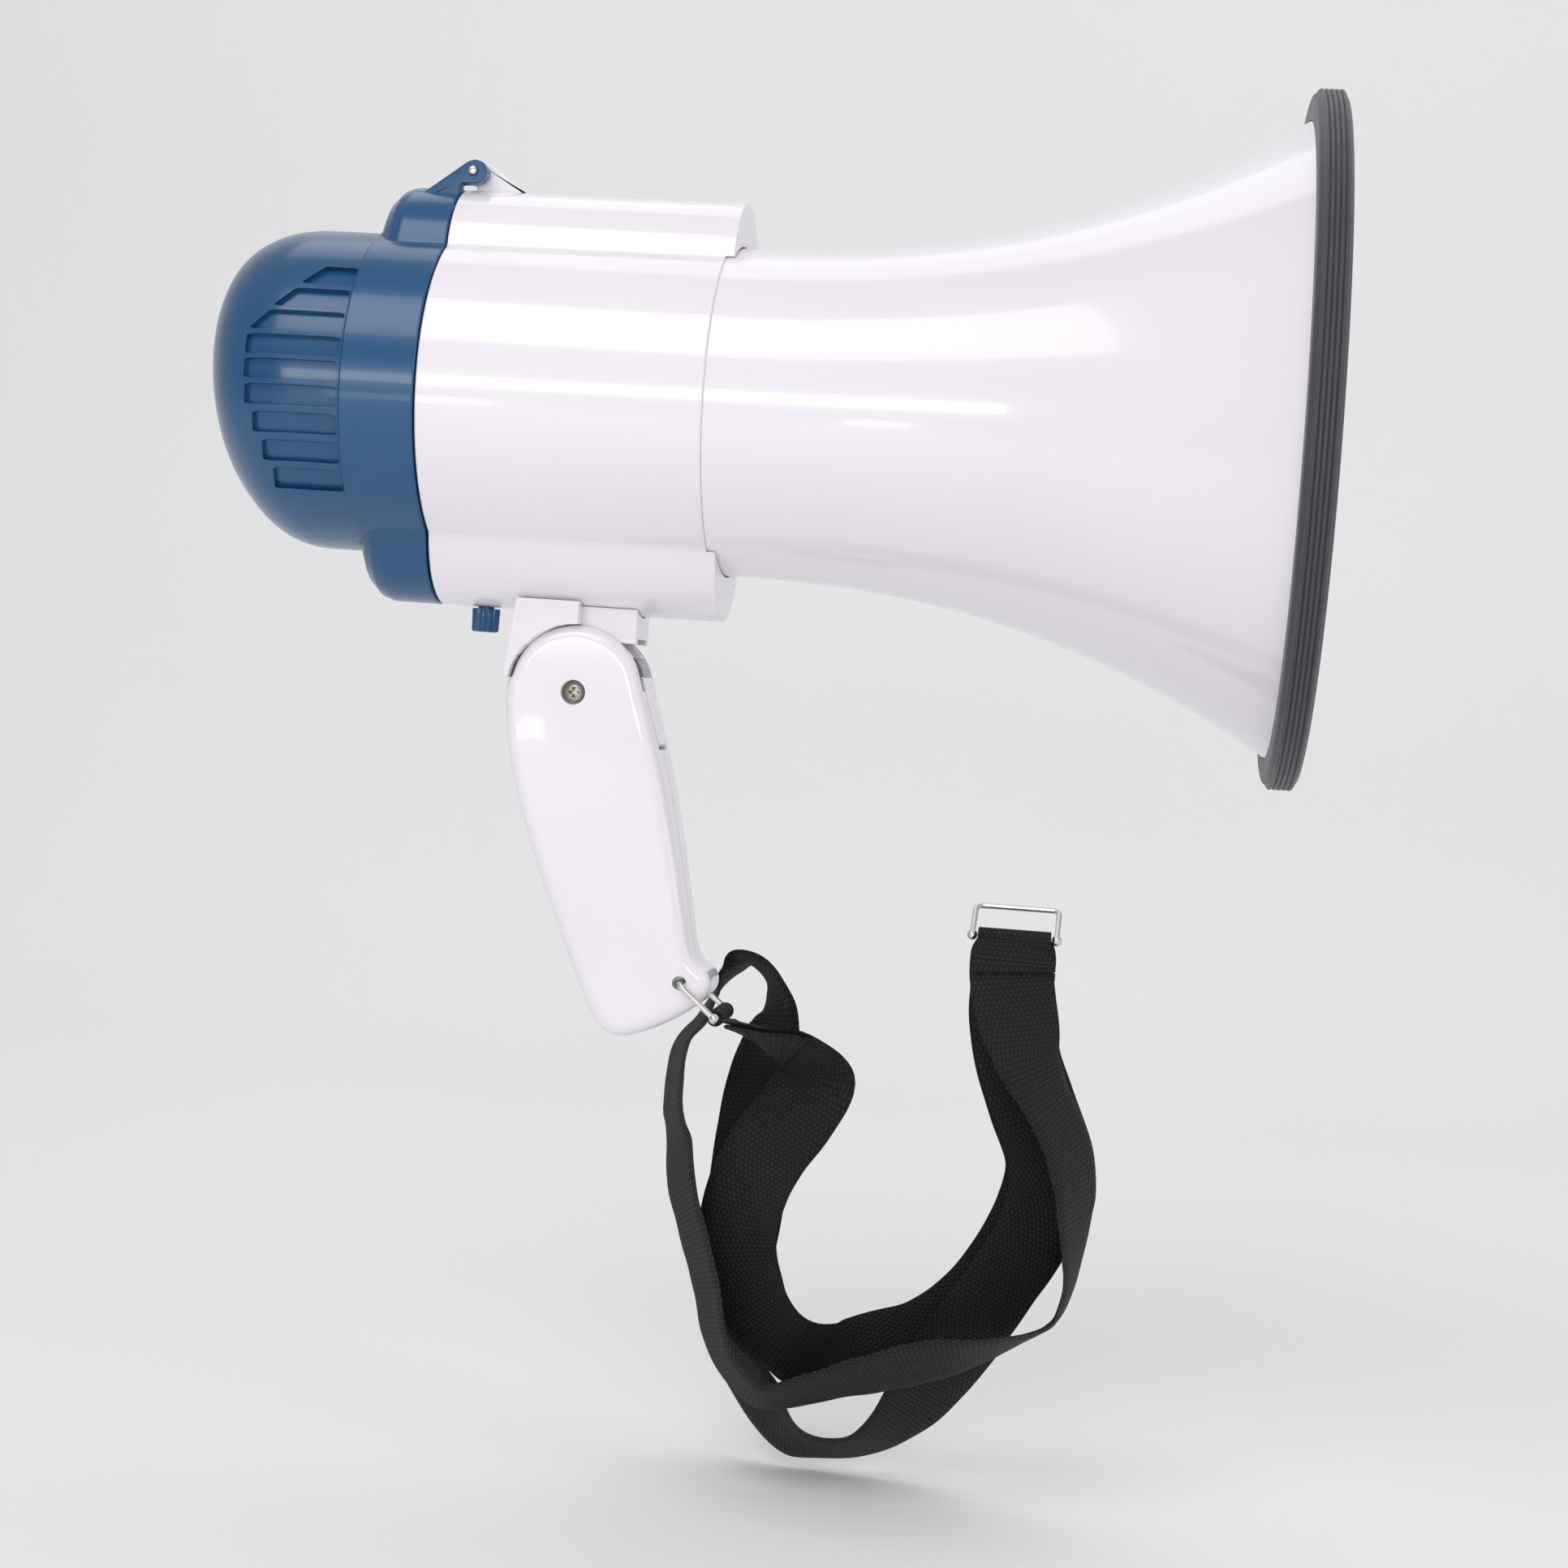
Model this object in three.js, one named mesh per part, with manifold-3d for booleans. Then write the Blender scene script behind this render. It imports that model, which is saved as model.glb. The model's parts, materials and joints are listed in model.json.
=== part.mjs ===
// Handheld folding megaphone: a flared horn, a barrel with two pods, a hinged rear cap,
// a folding grip with its trigger, and a webbing strap on wire bails.
// Millimetres. +X is forward along the horn, +Z is up. The origin is the centre of the grip.
import * as THREE from 'three';
import { mergeVertices } from 'three/addons/utils/BufferGeometryUtils.js';
import Module from 'manifold-3d';

const wasm = await Module();
wasm.setup();

// ---- driving dimensions ----
const GAP = 0.3;                 // clearance between neighbouring pieces
const WALL = 2;                  // moulded wall thickness
const AXIS_HEIGHT = 105;         // horn axis above the grip
const RIM_X = 163;               // front of the rubber rim
const RIM_DEPTH = 7.5;
const RIM_RADIUS = 80.4;
const SEAM_X = 25;               // where the horn meets the barrel
const BARREL_RADIUS = 38.6;
const BARREL_REAR_X = -41;
const CAP_REAR_X = -98;
const CAP_BAND_X = -58;          // end of the cap's plain band
const FLARE_GAIN = 36.5;         // growth of the horn's radius over FLARE_LENGTH
const FLARE_LENGTH = 134;
const FLARE_POWER = 2.33;
const POD_RADIUS = 19.3;
const POD_OFFSET = 30.3;         // pod centre from the horn axis
const POD_FRONT_X = 27;
const HINGE_X = -38.4;
const HINGE_Z = 53;              // cap pin above the horn axis
const HINGE_BORE = 1.15;
const KNUCKLE_RADIUS = 2.8;
const KNOB_X = -30.6;
const PIVOT_X = -5.7;            // handle pivot
const PIVOT_Z = 36.5;
const HANDLE_TOP_RADIUS = 15.8;
const HANDLE_HALF = 12;          // half width of the grip at its top
const HANDLE_HALF_LOW = 8.8;     // half width of the grip at the strap hole
const TONGUE_HALF = 8;
const TRIGGER_HALF = 4.8;
const BRACKET_SCREWS = [PIVOT_X - 12, PIVOT_X - 6];
const HOLE_X = 29.2;             // strap hole from the pivot
const HOLE_Z = -66.6;
const STRAP_WIDTH = 20;
const STRAP_THICKNESS = 1.2;
const BAIL_WIRE = 0.7;           // wire radius
const BAIL_HALF = 9.9;           // half the distance between the legs' centres
const BAIL_LEG = 11.8;
const BALL_RADIUS = 1.25;        // ends of a bail's legs
const BAIL_SWING = 50;           // degrees from straight down
const END_PIN = [101, -1.5, -14];
const END_LEAN = 58;             // degrees that the loose bail leans back

// ---- materials ----
const paint = (color, roughness, metalness = 0) =>
  () => new THREE.MeshStandardMaterial({ color, roughness, metalness });
const white = paint(0xf6f1f5, 0.25);
const blue = paint(0x2f5f95, 0.35);
const rubber = paint(0x55585f, 0.6);
const steel = paint(0xc8c8c8, 0.25, 1);
const darkPlastic = paint(0x202226, 0.5);
const webbing = paint(0x1a1a1c, 0.9);
const copperFoil = paint(0x1f6b3a, 0.5);
const cellSleeve = paint(0x8a5a2b, 0.4);
const foam = paint(0x2a2a2c, 1);
const coneFilm = paint(0xd8cfa8, 0.4);

// ---- solids: closed meshes joined and cut with manifold-3d ----
function solid(geometry) {
  const bare = geometry.index ? geometry.toNonIndexed() : geometry.clone();
  bare.deleteAttribute('normal');
  bare.deleteAttribute('uv');
  const merged = mergeVertices(bare, 1e-4);
  return new wasm.Manifold(new wasm.Mesh({
    numProp: 3,
    vertProperties: new Float32Array(merged.attributes.position.array),
    triVerts: new Uint32Array(merged.index.array),
  }));
}

function geometryOf(body) {
  const mesh = body.getMesh();
  const geometry = new THREE.BufferGeometry();
  geometry.setAttribute('position', new THREE.BufferAttribute(mesh.vertProperties, 3));
  geometry.setIndex(new THREE.BufferAttribute(mesh.triVerts, 1));
  geometry.computeVertexNormals();
  return geometry;
}

function node(name, body, material) {
  const mesh = new THREE.Mesh(geometryOf(body), material());
  mesh.name = name;
  return mesh;
}

// a box between two corners
function box(x0, x1, y0, y1, z0, z1) {
  const geometry = new THREE.BoxGeometry(x1 - x0, y1 - y0, z1 - z0);
  geometry.translate((x0 + x1) / 2, (y0 + y1) / 2, (z0 + z1) / 2);
  return solid(geometry);
}

// a turned piece about the X axis, from [x, radius] points
function turned(profile, sides = 48, lift = 0, reshape = null) {
  const points = profile.map(([x, r]) => new THREE.Vector2(Math.max(r, 0), x));
  const geometry = new THREE.LatheGeometry(points, sides);
  geometry.rotateZ(-Math.PI / 2);
  geometry.translate(0, 0, lift);
  if (reshape) {
    moveCorners(geometry, reshape);
  }
  return solid(isInsideOut(geometry) ? flipped(geometry) : geometry);
}

function moveCorners(geometry, reshape) {
  const p = geometry.attributes.position;
  for (let i = 0; i < p.count; i += 1) {
    p.setXYZ(i, ...reshape(p.getX(i), p.getY(i), p.getZ(i)));
  }
}

function isInsideOut(geometry) {
  const flat = geometry.toNonIndexed();
  const p = flat.attributes.position;
  const corner = (i) => new THREE.Vector3().fromBufferAttribute(p, i);
  let volume = 0;
  for (let i = 0; i < p.count; i += 3) {
    volume += corner(i).dot(corner(i + 1).cross(corner(i + 2)));
  }
  return volume < 0;
}

function flipped(geometry) {
  const copy = geometry.index ? geometry.toNonIndexed() : geometry.clone();
  const p = copy.attributes.position;
  for (let i = 0; i < p.count; i += 3) {
    const a = new THREE.Vector3().fromBufferAttribute(p, i + 1);
    const b = new THREE.Vector3().fromBufferAttribute(p, i + 2);
    p.setXYZ(i + 1, b.x, b.y, b.z);
    p.setXYZ(i + 2, a.x, a.y, a.z);
  }
  return copy;
}

// a rod along one axis: 'x', 'y' or 'z', from lo to hi, centred on the other two
function rod(axis, radius, lo, hi, a = 0, b = 0, sides = 24) {
  const geometry = new THREE.CylinderGeometry(radius, radius, hi - lo, sides);
  const mid = (lo + hi) / 2;
  if (axis === 'x') geometry.rotateZ(-Math.PI / 2).translate(mid, a, b);
  if (axis === 'y') geometry.translate(a, mid, b);
  if (axis === 'z') geometry.rotateX(Math.PI / 2).translate(a, b, mid);
  return solid(geometry);
}

// a side outline of [x, z] points, extruded from y0 to y1, with optional rounded edges
function plate(outline, y0, y1, bevel = 0, inset = 0, reshape = null) {
  const shape = new THREE.Shape(outline.map(([x, z]) => new THREE.Vector2(x, z)));
  const geometry = new THREE.ExtrudeGeometry(shape, {
    depth: y1 - y0 - 2 * bevel,
    bevelEnabled: bevel > 0 || inset > 0,
    bevelThickness: bevel,
    bevelSize: bevel,
    bevelOffset: -bevel - inset,
    bevelSegments: 2,
    steps: 1,
  });
  // the extrusion runs along +Z: turn it so that it runs along -Y, then place it
  geometry.rotateX(Math.PI / 2);
  geometry.translate(0, y1 - bevel, 0);
  if (reshape) {
    moveCorners(geometry, reshape);
  }
  return solid(geometry);
}

// an arc of [x, z] points about a centre
function arc(cx, cz, radius, from, to, steps) {
  return Array.from({ length: steps + 1 }, (_, i) => {
    const angle = THREE.MathUtils.degToRad(from + ((to - from) * i) / steps);
    return [cx + radius * Math.cos(angle), cz + radius * Math.sin(angle)];
  });
}

// a round bar along a path of [x, y, z] points
function bar(points, radius, steps, sides = 8) {
  const path = new THREE.CurvePath();
  const corners = points.map((p) => new THREE.Vector3(...p));
  for (let i = 1; i < corners.length; i += 1) {
    path.add(new THREE.LineCurve3(corners[i - 1], corners[i]));
  }
  const curve = new THREE.CatmullRomCurve3(path.getSpacedPoints(steps));
  const section = new THREE.Shape();
  section.absarc(0, 0, radius, 0, 2 * Math.PI);
  return solid(new THREE.ExtrudeGeometry(section, {
    steps,
    curveSegments: sides / 2,
    bevelEnabled: false,
    extrudePath: curve,
  }));
}

const ball = (radius, x, y, z) => {
  const geometry = new THREE.SphereGeometry(radius, 10, 6);
  geometry.translate(x, y, z);
  return solid(geometry);
};

// ---- horn ----
const flareRadius = (x) =>
  BARREL_RADIUS + FLARE_GAIN * Math.max((x - SEAM_X) / FLARE_LENGTH, 0) ** FLARE_POWER;

function flareProfile(from, to, offset, steps) {
  return Array.from({ length: steps + 1 }, (_, i) => {
    const x = from + ((to - from) * i) / steps;
    return [x, flareRadius(x) + offset];
  });
}

function hornBell() {
  const edge = RIM_X - 2;
  const spigot = BARREL_RADIUS - WALL - GAP;
  const outer = flareProfile(SEAM_X + GAP / 2, edge, 0, 12);
  const inner = flareProfile(SEAM_X + 6, edge, -WALL, 10).reverse();
  return turned([
    [SEAM_X - 8, spigot - WALL],
    [SEAM_X - 8, spigot],
    [SEAM_X + GAP / 2, spigot],
    ...outer,
    ...inner,
    [SEAM_X - 8, spigot - WALL],
  ], 44);
}

function bellRim() {
  const back = RIM_X - RIM_DEPTH;
  const lip = RIM_X - 5.2;
  const slot = RIM_X - 2 + GAP;
  const ribs = [];
  for (let i = 0; i < 4; i += 1) {
    const x = back + 1.6 + i * 1.35;
    ribs.push([x, RIM_RADIUS - 0.15], [x + 0.65, RIM_RADIUS - 0.6]);
  }
  const profile = [
    [back, flareRadius(back) + GAP],
    [back, RIM_RADIUS - 1.2],
    ...ribs,
    [RIM_X, RIM_RADIUS - 2.4],
    [RIM_X, flareRadius(slot) - WALL - 2.6],
    [lip, flareRadius(lip) - WALL - 1.8],
    [lip, flareRadius(lip) - WALL - GAP],
    [slot, flareRadius(slot) - WALL - GAP],
    [slot, flareRadius(slot) + GAP],
    [back, flareRadius(back) + GAP],
  ];
  return turned(profile, 44);
}

// the inner bell faces backwards and turns the sound round into the flare
const CUP_MOUTH_X = 82;
const CUP_NOSE_X = 122;
const CUP_RADIUS = 27;

function cupProfile(radius, nose) {
  const reach = nose - CUP_MOUTH_X;
  return Array.from({ length: 7 }, (_, i) => {
    const angle = ((Math.PI / 2) * i) / 6;
    return [CUP_MOUTH_X + reach * Math.sin(angle), radius * Math.cos(angle) ** 0.7];
  });
}

function hornReflector() {
  const outside = cupProfile(CUP_RADIUS, CUP_NOSE_X);
  const inside = cupProfile(CUP_RADIUS - WALL, CUP_NOSE_X - WALL).reverse();
  let body = turned([...outside.slice(0, -1), [CUP_NOSE_X, 0], [CUP_NOSE_X - WALL, 0],
    ...inside.slice(1), [CUP_MOUTH_X, CUP_RADIUS]], 28);
  const reach = flareRadius(CUP_MOUTH_X + 4) - WALL - 0.9;
  for (const angle of [90, 210, 330]) {
    const strut = new THREE.BoxGeometry(10, 2.4, reach - CUP_RADIUS + 3);
    strut.translate(CUP_MOUTH_X + 9, 0, (reach + CUP_RADIUS - 3) / 2);
    strut.rotateX(THREE.MathUtils.degToRad(angle - 90));
    body = body.add(solid(strut));
  }
  return body;
}

const DRIVER_X = 12.4;
const TUBE_RADIUS = 12;

function toneTube() {
  return turned([
    [DRIVER_X + 9.5, 8],
    [DRIVER_X + 9.5, 33],
    [DRIVER_X + 12, 33],
    [DRIVER_X + 16, TUBE_RADIUS + 4],
    [DRIVER_X + 26, TUBE_RADIUS],
    [108, TUBE_RADIUS + 2],
    [108, TUBE_RADIUS],
    [DRIVER_X + 24, TUBE_RADIUS - 2],
    [DRIVER_X + 9.5, 8],
  ], 24);
}

function driverFrame() {
  const seat = BARREL_RADIUS - WALL - GAP - WALL - 0.5;
  return turned([
    [DRIVER_X, 20],
    [DRIVER_X, seat],
    [DRIVER_X + 4, seat],
    [DRIVER_X + 4, 31],
    [DRIVER_X + 3, 20],
    [DRIVER_X, 20],
  ], 28);
}

function driverMagnet() {
  return turned([
    [DRIVER_X - 15, 0],
    [DRIVER_X - 15, 24],
    [DRIVER_X - GAP, 24],
    [DRIVER_X - GAP, 14],
    [DRIVER_X + 3, 12],
    [DRIVER_X + 3, 0],
  ], 24);
}

function driverDiaphragm() {
  const domed = (x, lift) => [
    [x, 31], [x + 2, 27], [x + 0.8, 22], [x + 3 + lift, 12], [x + 4.2 + lift, 0],
  ];
  const front = domed(DRIVER_X + 4.9, 0);
  const rear = domed(DRIVER_X + 4.3, 0).reverse();
  return turned([...front, ...rear.slice(0, -1), [DRIVER_X + 4.3, 31], front[0]], 24);
}

// ---- barrel with its two pods ----
const podRod = (sign, radius, x0, x1) =>
  rod('x', radius, x0, x1, 0, sign * POD_OFFSET, 32);

function bodyHousing() {
  const front = SEAM_X - GAP / 2;
  let body = rod('x', BARREL_RADIUS, BARREL_REAR_X, front, 0, 0, 48);
  for (const sign of [1, -1]) {
    const pod = podRod(sign, POD_RADIUS, BARREL_REAR_X, POD_FRONT_X);
    body = body.add(pod.subtract(rod('x', BARREL_RADIUS + GAP, front, 40, 0, 0, 48)));
  }
  body = body.subtract(rod('x', BARREL_RADIUS - WALL, BARREL_REAR_X - 1, 30, 0, 0, 48));
  for (const sign of [1, -1]) {
    body = body.subtract(podRod(sign, POD_RADIUS - WALL, BARREL_REAR_X - 1, front - WALL));
  }
  // fin and knuckle of the cap's hinge
  const fin = plate([[HINGE_X, 48.3], [HINGE_X, 55.6], [-35.6, 55.6], [-26, 49], [-26, 48.3]],
    -4.7, 4.7);
  const knuckle = rod('y', KNUCKLE_RADIUS, -4.7, 4.7, HINGE_X, HINGE_Z, 20);
  body = body.add(fin).add(knuckle);
  body = body.subtract(rod('y', HINGE_BORE, -6, 6, HINGE_X, HINGE_Z, 16));
  // hole for the volume knob, holes for the bracket's screws
  body = body.subtract(rod('z', 2.4, -60, -40, KNOB_X, 0, 16));
  for (const x of BRACKET_SCREWS) {
    body = body.subtract(rod('z', 1.5, -60, -40, x, 0, 12));
  }
  return body;
}

function capHingePin() {
  const shaft = rod('y', 0.9, -9.3, 9.3, HINGE_X, HINGE_Z, 12);
  return shaft.add(rod('y', 1.35, -10.1, -9.3, HINGE_X, HINGE_Z, 12))
    .add(rod('y', 1.35, 9.3, 10.1, HINGE_X, HINGE_Z, 12));
}

// ---- rear cap ----
const CAP_SHOULDER = 0.6;        // step from the band down to the dome
const CAP_LEAN = 0.1;            // the dome reaches further back at its top than at its foot

function domeProfile(inset) {
  const start = CAP_BAND_X - 12;
  const reach = start - CAP_REAR_X - inset;
  const radius = BARREL_RADIUS - CAP_SHOULDER - inset;
  return Array.from({ length: 8 }, (_, i) => {
    const angle = ((Math.PI / 2) * i) / 7;
    return [start - reach * Math.sin(angle) ** 0.86, radius * Math.cos(angle) ** 0.86];
  });
}

function leaned(x, y, z) {
  const share = THREE.MathUtils.clamp((CAP_BAND_X - 6 - x) / 25, 0, 1);
  return [x - CAP_LEAN * share * z, y, z];
}

function capForm(inset, sides = 36) {
  const dome = domeProfile(inset);
  const front = BARREL_REAR_X - GAP + (inset ? 1 : 0);
  const form = turned([
    [front, 0],
    [front, BARREL_RADIUS - inset],
    [CAP_BAND_X, BARREL_RADIUS - inset],
    [CAP_BAND_X - 0.8, BARREL_RADIUS - CAP_SHOULDER - inset],
    ...dome.slice(0, -1),
    [CAP_REAR_X + inset, 0],
  ], sides, 0, leaned);
  let body = form;
  for (const sign of [1, -1]) {
    const radius = POD_RADIUS - inset;
    const nose = turned([
      [front, 0],
      [front, radius],
      [CAP_BAND_X + 4 + inset, radius],
      [CAP_BAND_X + 1 + inset, radius - 2.5],
      [CAP_BAND_X - 1.5 + inset, radius - 8],
      [CAP_BAND_X - 2 + inset, 0],
    ], 24, sign * POD_OFFSET);
    body = body.add(nose);
  }
  return body;
}

// the ladder of shallow slots on each side of the dome
const SLOT_COUNT = 9;
const SLOT_PITCH = 6;
const SLOT_DEPTH = 1.1;

function sideSlots(sign) {
  const cuts = [];
  for (let i = 0; i < SLOT_COUNT; i += 1) {
    const z = 22.4 - i * SLOT_PITCH;
    const rear = z > 8 ? -81 + (z - 8) * 0.75 : -81 + Math.max(-z - 8, 0) * 0.4;
    const reach = 60;
    cuts.push(box(rear, CAP_BAND_X - 1.5, sign > 0 ? 0 : -reach, sign > 0 ? reach : 0,
      z - 2, z + 2));
  }
  return cuts;
}

function rearCap() {
  let body = capForm(0).subtract(capForm(WALL));
  const slotFloor = capForm(SLOT_DEPTH);
  for (const sign of [1, -1]) {
    for (const cut of sideSlots(sign)) {
      body = body.subtract(cut.subtract(slotFloor));
    }
  }
  // inner lip that enters the barrel
  const lip = BARREL_RADIUS - WALL - GAP;
  body = body.add(turned([
    [BARREL_REAR_X - 5, lip - 1.6],
    [BARREL_REAR_X - 5, lip + 0.6],
    [BARREL_REAR_X - GAP, lip + 0.6],
    [BARREL_REAR_X - GAP, lip],
    [BARREL_REAR_X + 3.5, lip],
    [BARREL_REAR_X + 3.5, lip - 1.6],
    [BARREL_REAR_X - 5, lip - 1.6],
  ], 40));
  // sound slots in the end face, in front of the microphone
  for (const y of [-6, -2, 2, 6]) {
    body = body.subtract(box(CAP_REAR_X - 2, CAP_REAR_X + 6, y - 0.8, y + 0.8, -7, 7));
  }
  // two hinge arms
  for (const [y0, y1] of [[-9, -5], [5, 9]]) {
    const arm = plate([[-54, 44], [-50.8, 46.9], [HINGE_X - 1.5, 55.2], [HINGE_X + 0.2, 55.8],
      [HINGE_X + 2.2, 55.2], [HINGE_X + 3.2, 53.8], [HINGE_X + 3.3, 52.2], [HINGE_X + 2.2, 50.6],
      [HINGE_X + 0.4, 50], [-41.4, 50], [-41.4, 44]], y0, y1);
    body = body.add(arm);
  }
  return body.subtract(rod('y', HINGE_BORE, -12, 12, HINGE_X, HINGE_Z, 16));
}

function microphone() {
  return turned([
    [CAP_REAR_X + 6.2, 0],
    [CAP_REAR_X + 6.2, 4.8],
    [CAP_REAR_X + 12, 4.8],
    [CAP_REAR_X + 12, 0],
  ], 20);
}

function microphoneHolder() {
  return turned([
    [CAP_REAR_X + 5, 5.2],
    [CAP_REAR_X + 5, 12],
    [CAP_REAR_X + 7.5, 12],
    [CAP_REAR_X + 8.5, 7.5],
    [CAP_REAR_X + 13, 7.5],
    [CAP_REAR_X + 13, 5.2],
    [CAP_REAR_X + 5, 5.2],
  ], 24);
}

// ---- power and electronics ----
const CELL_RADIUS = 13;
const CELL_REAR_X = -58;
const CELL_LENGTH = 50;
const CELL_SPACING = 13.7;

function batteryCell() {
  return turned([
    [0, 0],
    [0, CELL_RADIUS - 0.6],
    [0.6, CELL_RADIUS],
    [CELL_LENGTH - 2.4, CELL_RADIUS],
    [CELL_LENGTH - 1.8, CELL_RADIUS - 0.6],
    [CELL_LENGTH - 1.8, 3],
    [CELL_LENGTH, 3],
    [CELL_LENGTH, 0],
  ], 20);
}

function batteryTray() {
  const rear = CELL_REAR_X - 3;
  const front = CELL_REAR_X + CELL_LENGTH + 3.6;
  let body = rod('x', 33, rear + 24, front, 0, 0, 32);
  for (const y of [-CELL_SPACING, CELL_SPACING]) {
    for (const z of [-CELL_SPACING, CELL_SPACING]) {
      body = body.subtract(rod('x', CELL_RADIUS + GAP, rear, front - 2.4, y, z, 20));
    }
  }
  return body;
}

const cellContact = () => rod('x', 6, CELL_LENGTH + GAP, CELL_LENGTH + GAP + 0.6, 0, 0, 16);

function amplifierBoard() {
  const chip = box(-12, -2, -5, 5, -39.3, -37.6);
  const coil = rod('z', 4, -39.3, -34.5, 8, 0, 16);
  return box(-37, 18, -12, 12, -40.8, -39.2).add(chip).add(coil);
}

function volumeControl() {
  return box(KNOB_X - 5.5, KNOB_X + 5.5, -5.5, 5.5, -45, -41.1);
}

function volumeKnob() {
  const flutes = 14;
  const outline = new THREE.Shape();
  const points = Array.from({ length: flutes * 4 }, (_, i) => {
    const angle = (2 * Math.PI * i) / (flutes * 4);
    const radius = i % 4 < 2 ? 3.4 : 3.05;
    return new THREE.Vector2(radius * Math.cos(angle), radius * Math.sin(angle));
  });
  outline.setFromPoints(points);
  const head = new THREE.ExtrudeGeometry(outline, { depth: 5.6, bevelEnabled: false });
  head.translate(KNOB_X, 0, -55.6);
  return solid(head).add(rod('z', 1.9, -50.5, -45.3, KNOB_X, 0, 12));
}

// ---- handle bracket, pivot-centred coordinates ----
const AXIS_ABOVE_PIVOT = AXIS_HEIGHT - PIVOT_Z;
const disc = (radius, half) => rod('y', radius, -half, half, 0, 0, 36);

function handleBracket() {
  const top = 21.4;
  const seat = rod('x', POD_RADIUS + GAP, -60, 60, 0, AXIS_ABOVE_PIVOT - POD_OFFSET, 36);
  const ear = plate([[-14.9, top], [0.2, top], [0.2, 12], [-12, 2.6], [-17, 2.6]], -12.4, 12.4)
    .subtract(disc(HANDLE_TOP_RADIUS + GAP, 14));
  const corner = plate([[-14, top], [13.4, top], [13.4, 12.2], [0, 12.6], [-14, 8]],
    -TONGUE_HALF, TONGUE_HALF);
  const triggerRoom = disc(19, TRIGGER_HALF + 0.5).intersect(box(-1, 30, -10, 10, 0, 30));
  const tongue = disc(HANDLE_TOP_RADIUS - 0.2, TONGUE_HALF)
    .subtract(disc(HANDLE_TOP_RADIUS + 2, TRIGGER_HALF + 0.5).intersect(box(-4, 30, -10, 10, -30, 30)))
    .subtract(box(-2, 30, -10, 10, -30, 9))
    .add(disc(12, TONGUE_HALF));
  let body = ear.add(corner.subtract(triggerRoom)).add(tongue).subtract(seat);
  body = body.subtract(rod('y', 1.85, -20, 20, 0, 0, 16));
  for (const x of BRACKET_SCREWS) {
    body = body.subtract(rod('z', 1.2, 10, 24, x - PIVOT_X, 0, 12));
  }
  return body;
}

function bracketScrew(x) {
  const local = x - PIVOT_X;
  const pod = AXIS_ABOVE_PIVOT - POD_OFFSET - POD_RADIUS;
  return rod('z', 0.9, pod - 6, pod + WALL + 0.6, local, 0, 10)
    .add(rod('z', 2.4, pod + WALL + 0.4, pod + WALL + 2, local, 0, 12));
}

// ---- grip ----
const GRIP_OUTLINE = [
  ...arc(0, 0, HANDLE_TOP_RADIUS, 28, 172, 11),
  [-16.7, 1.2], [-16, -9.7], [-13.6, -21], [-10.2, -32], [-5.9, -43.4], [-1, -55.2], [4, -66.5],
  [8.3, -75.2], [11.6, -79.3], [16, -80.4], [22.5, -78.3], [29.5, -74.6], [35, -70], [36.6, -66],
  [35, -63.2], [32, -61.4], [30.7, -58], [29.5, -53], [27.7, -43.3], [25.2, -31.5], [22, -18.5],
  [18.3, -6], [15.3, 3.5],
];

// the grip grows thinner towards the strap hole
function slimmed(x, y, z) {
  const low = THREE.MathUtils.clamp((-10 - z) / 56, 0, 1);
  return [x, y * (1 + (HANDLE_HALF_LOW / HANDLE_HALF - 1) * low), z];
}

const SHELL_SCREWS = [[4, -36], [16, -66]];
const TRIGGER_OPENING = [[10, 7], [30, 7], [30, -13.2], [10, -13.2]];

function gripForm() {
  const innerHalf = HANDLE_HALF - WALL;
  const outside = plate(GRIP_OUTLINE, -HANDLE_HALF, HANDLE_HALF, 3, 0, slimmed);
  const inside = plate(GRIP_OUTLINE, -innerHalf, innerHalf, 1.5, WALL, slimmed);
  let body = outside.subtract(inside);
  for (const [x, z] of SHELL_SCREWS) {
    body = body.add(rod('y', 3.1, -9, 9, x, z, 16));
  }
  body = body.add(rod('y', 5.4, -HANDLE_HALF + 1, HANDLE_HALF - 1, 0, 0, 20));
  body = body.add(rod('y', 4.2, -8.6, 8.6, HOLE_X, HOLE_Z, 16));
  body = body.subtract(disc(HANDLE_TOP_RADIUS + GAP - 0.1, TONGUE_HALF + GAP));
  body = body.subtract(plate(TRIGGER_OPENING, -TRIGGER_HALF - GAP, TRIGGER_HALF + GAP));
  body = body.subtract(rod('y', 1.65, -20, 20, HOLE_X, HOLE_Z, 16));
  body = body.subtract(rod('y', 1.8, -20, 20, 0, 0, 16));
  body = body.subtract(rod('y', 2.8, -20, -HANDLE_HALF + 1.6, 0, 0, 20));
  body = body.subtract(rod('y', 3.9, HANDLE_HALF - 2.6, 20, 0, 0, 6));
  for (const [x, z] of SHELL_SCREWS) {
    body = body.subtract(rod('y', 1.35, -7, 20, x, z, 12));
    body = body.subtract(rod('y', 2.9, 7, 20, x, z, 12));
  }
  return body;
}

const nearHalf = (body) => body.intersect(box(-60, 80, -40, -GAP / 2, -120, 60));
const farHalf = (body) => body.intersect(box(-60, 80, GAP / 2, 40, -120, 60));

function pivotBolt() {
  const head = -HANDLE_HALF + 0.3;
  return rod('y', 1.55, head, HANDLE_HALF - 0.7, 0, 0, 16)
    .add(rod('y', 2.3, head, head + 1.2, 0, 0, 20))
    .subtract(box(-1.4, 1.4, head - 1, head + 0.6, -0.3, 0.3))
    .subtract(box(-0.3, 0.3, head - 1, head + 0.6, -1.4, 1.4));
}

function pivotNut() {
  return rod('y', 3.4, HANDLE_HALF - 2.4, HANDLE_HALF - 0.2, 0, 0, 6)
    .subtract(rod('y', 1.8, 0, 20, 0, 0, 16));
}

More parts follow.
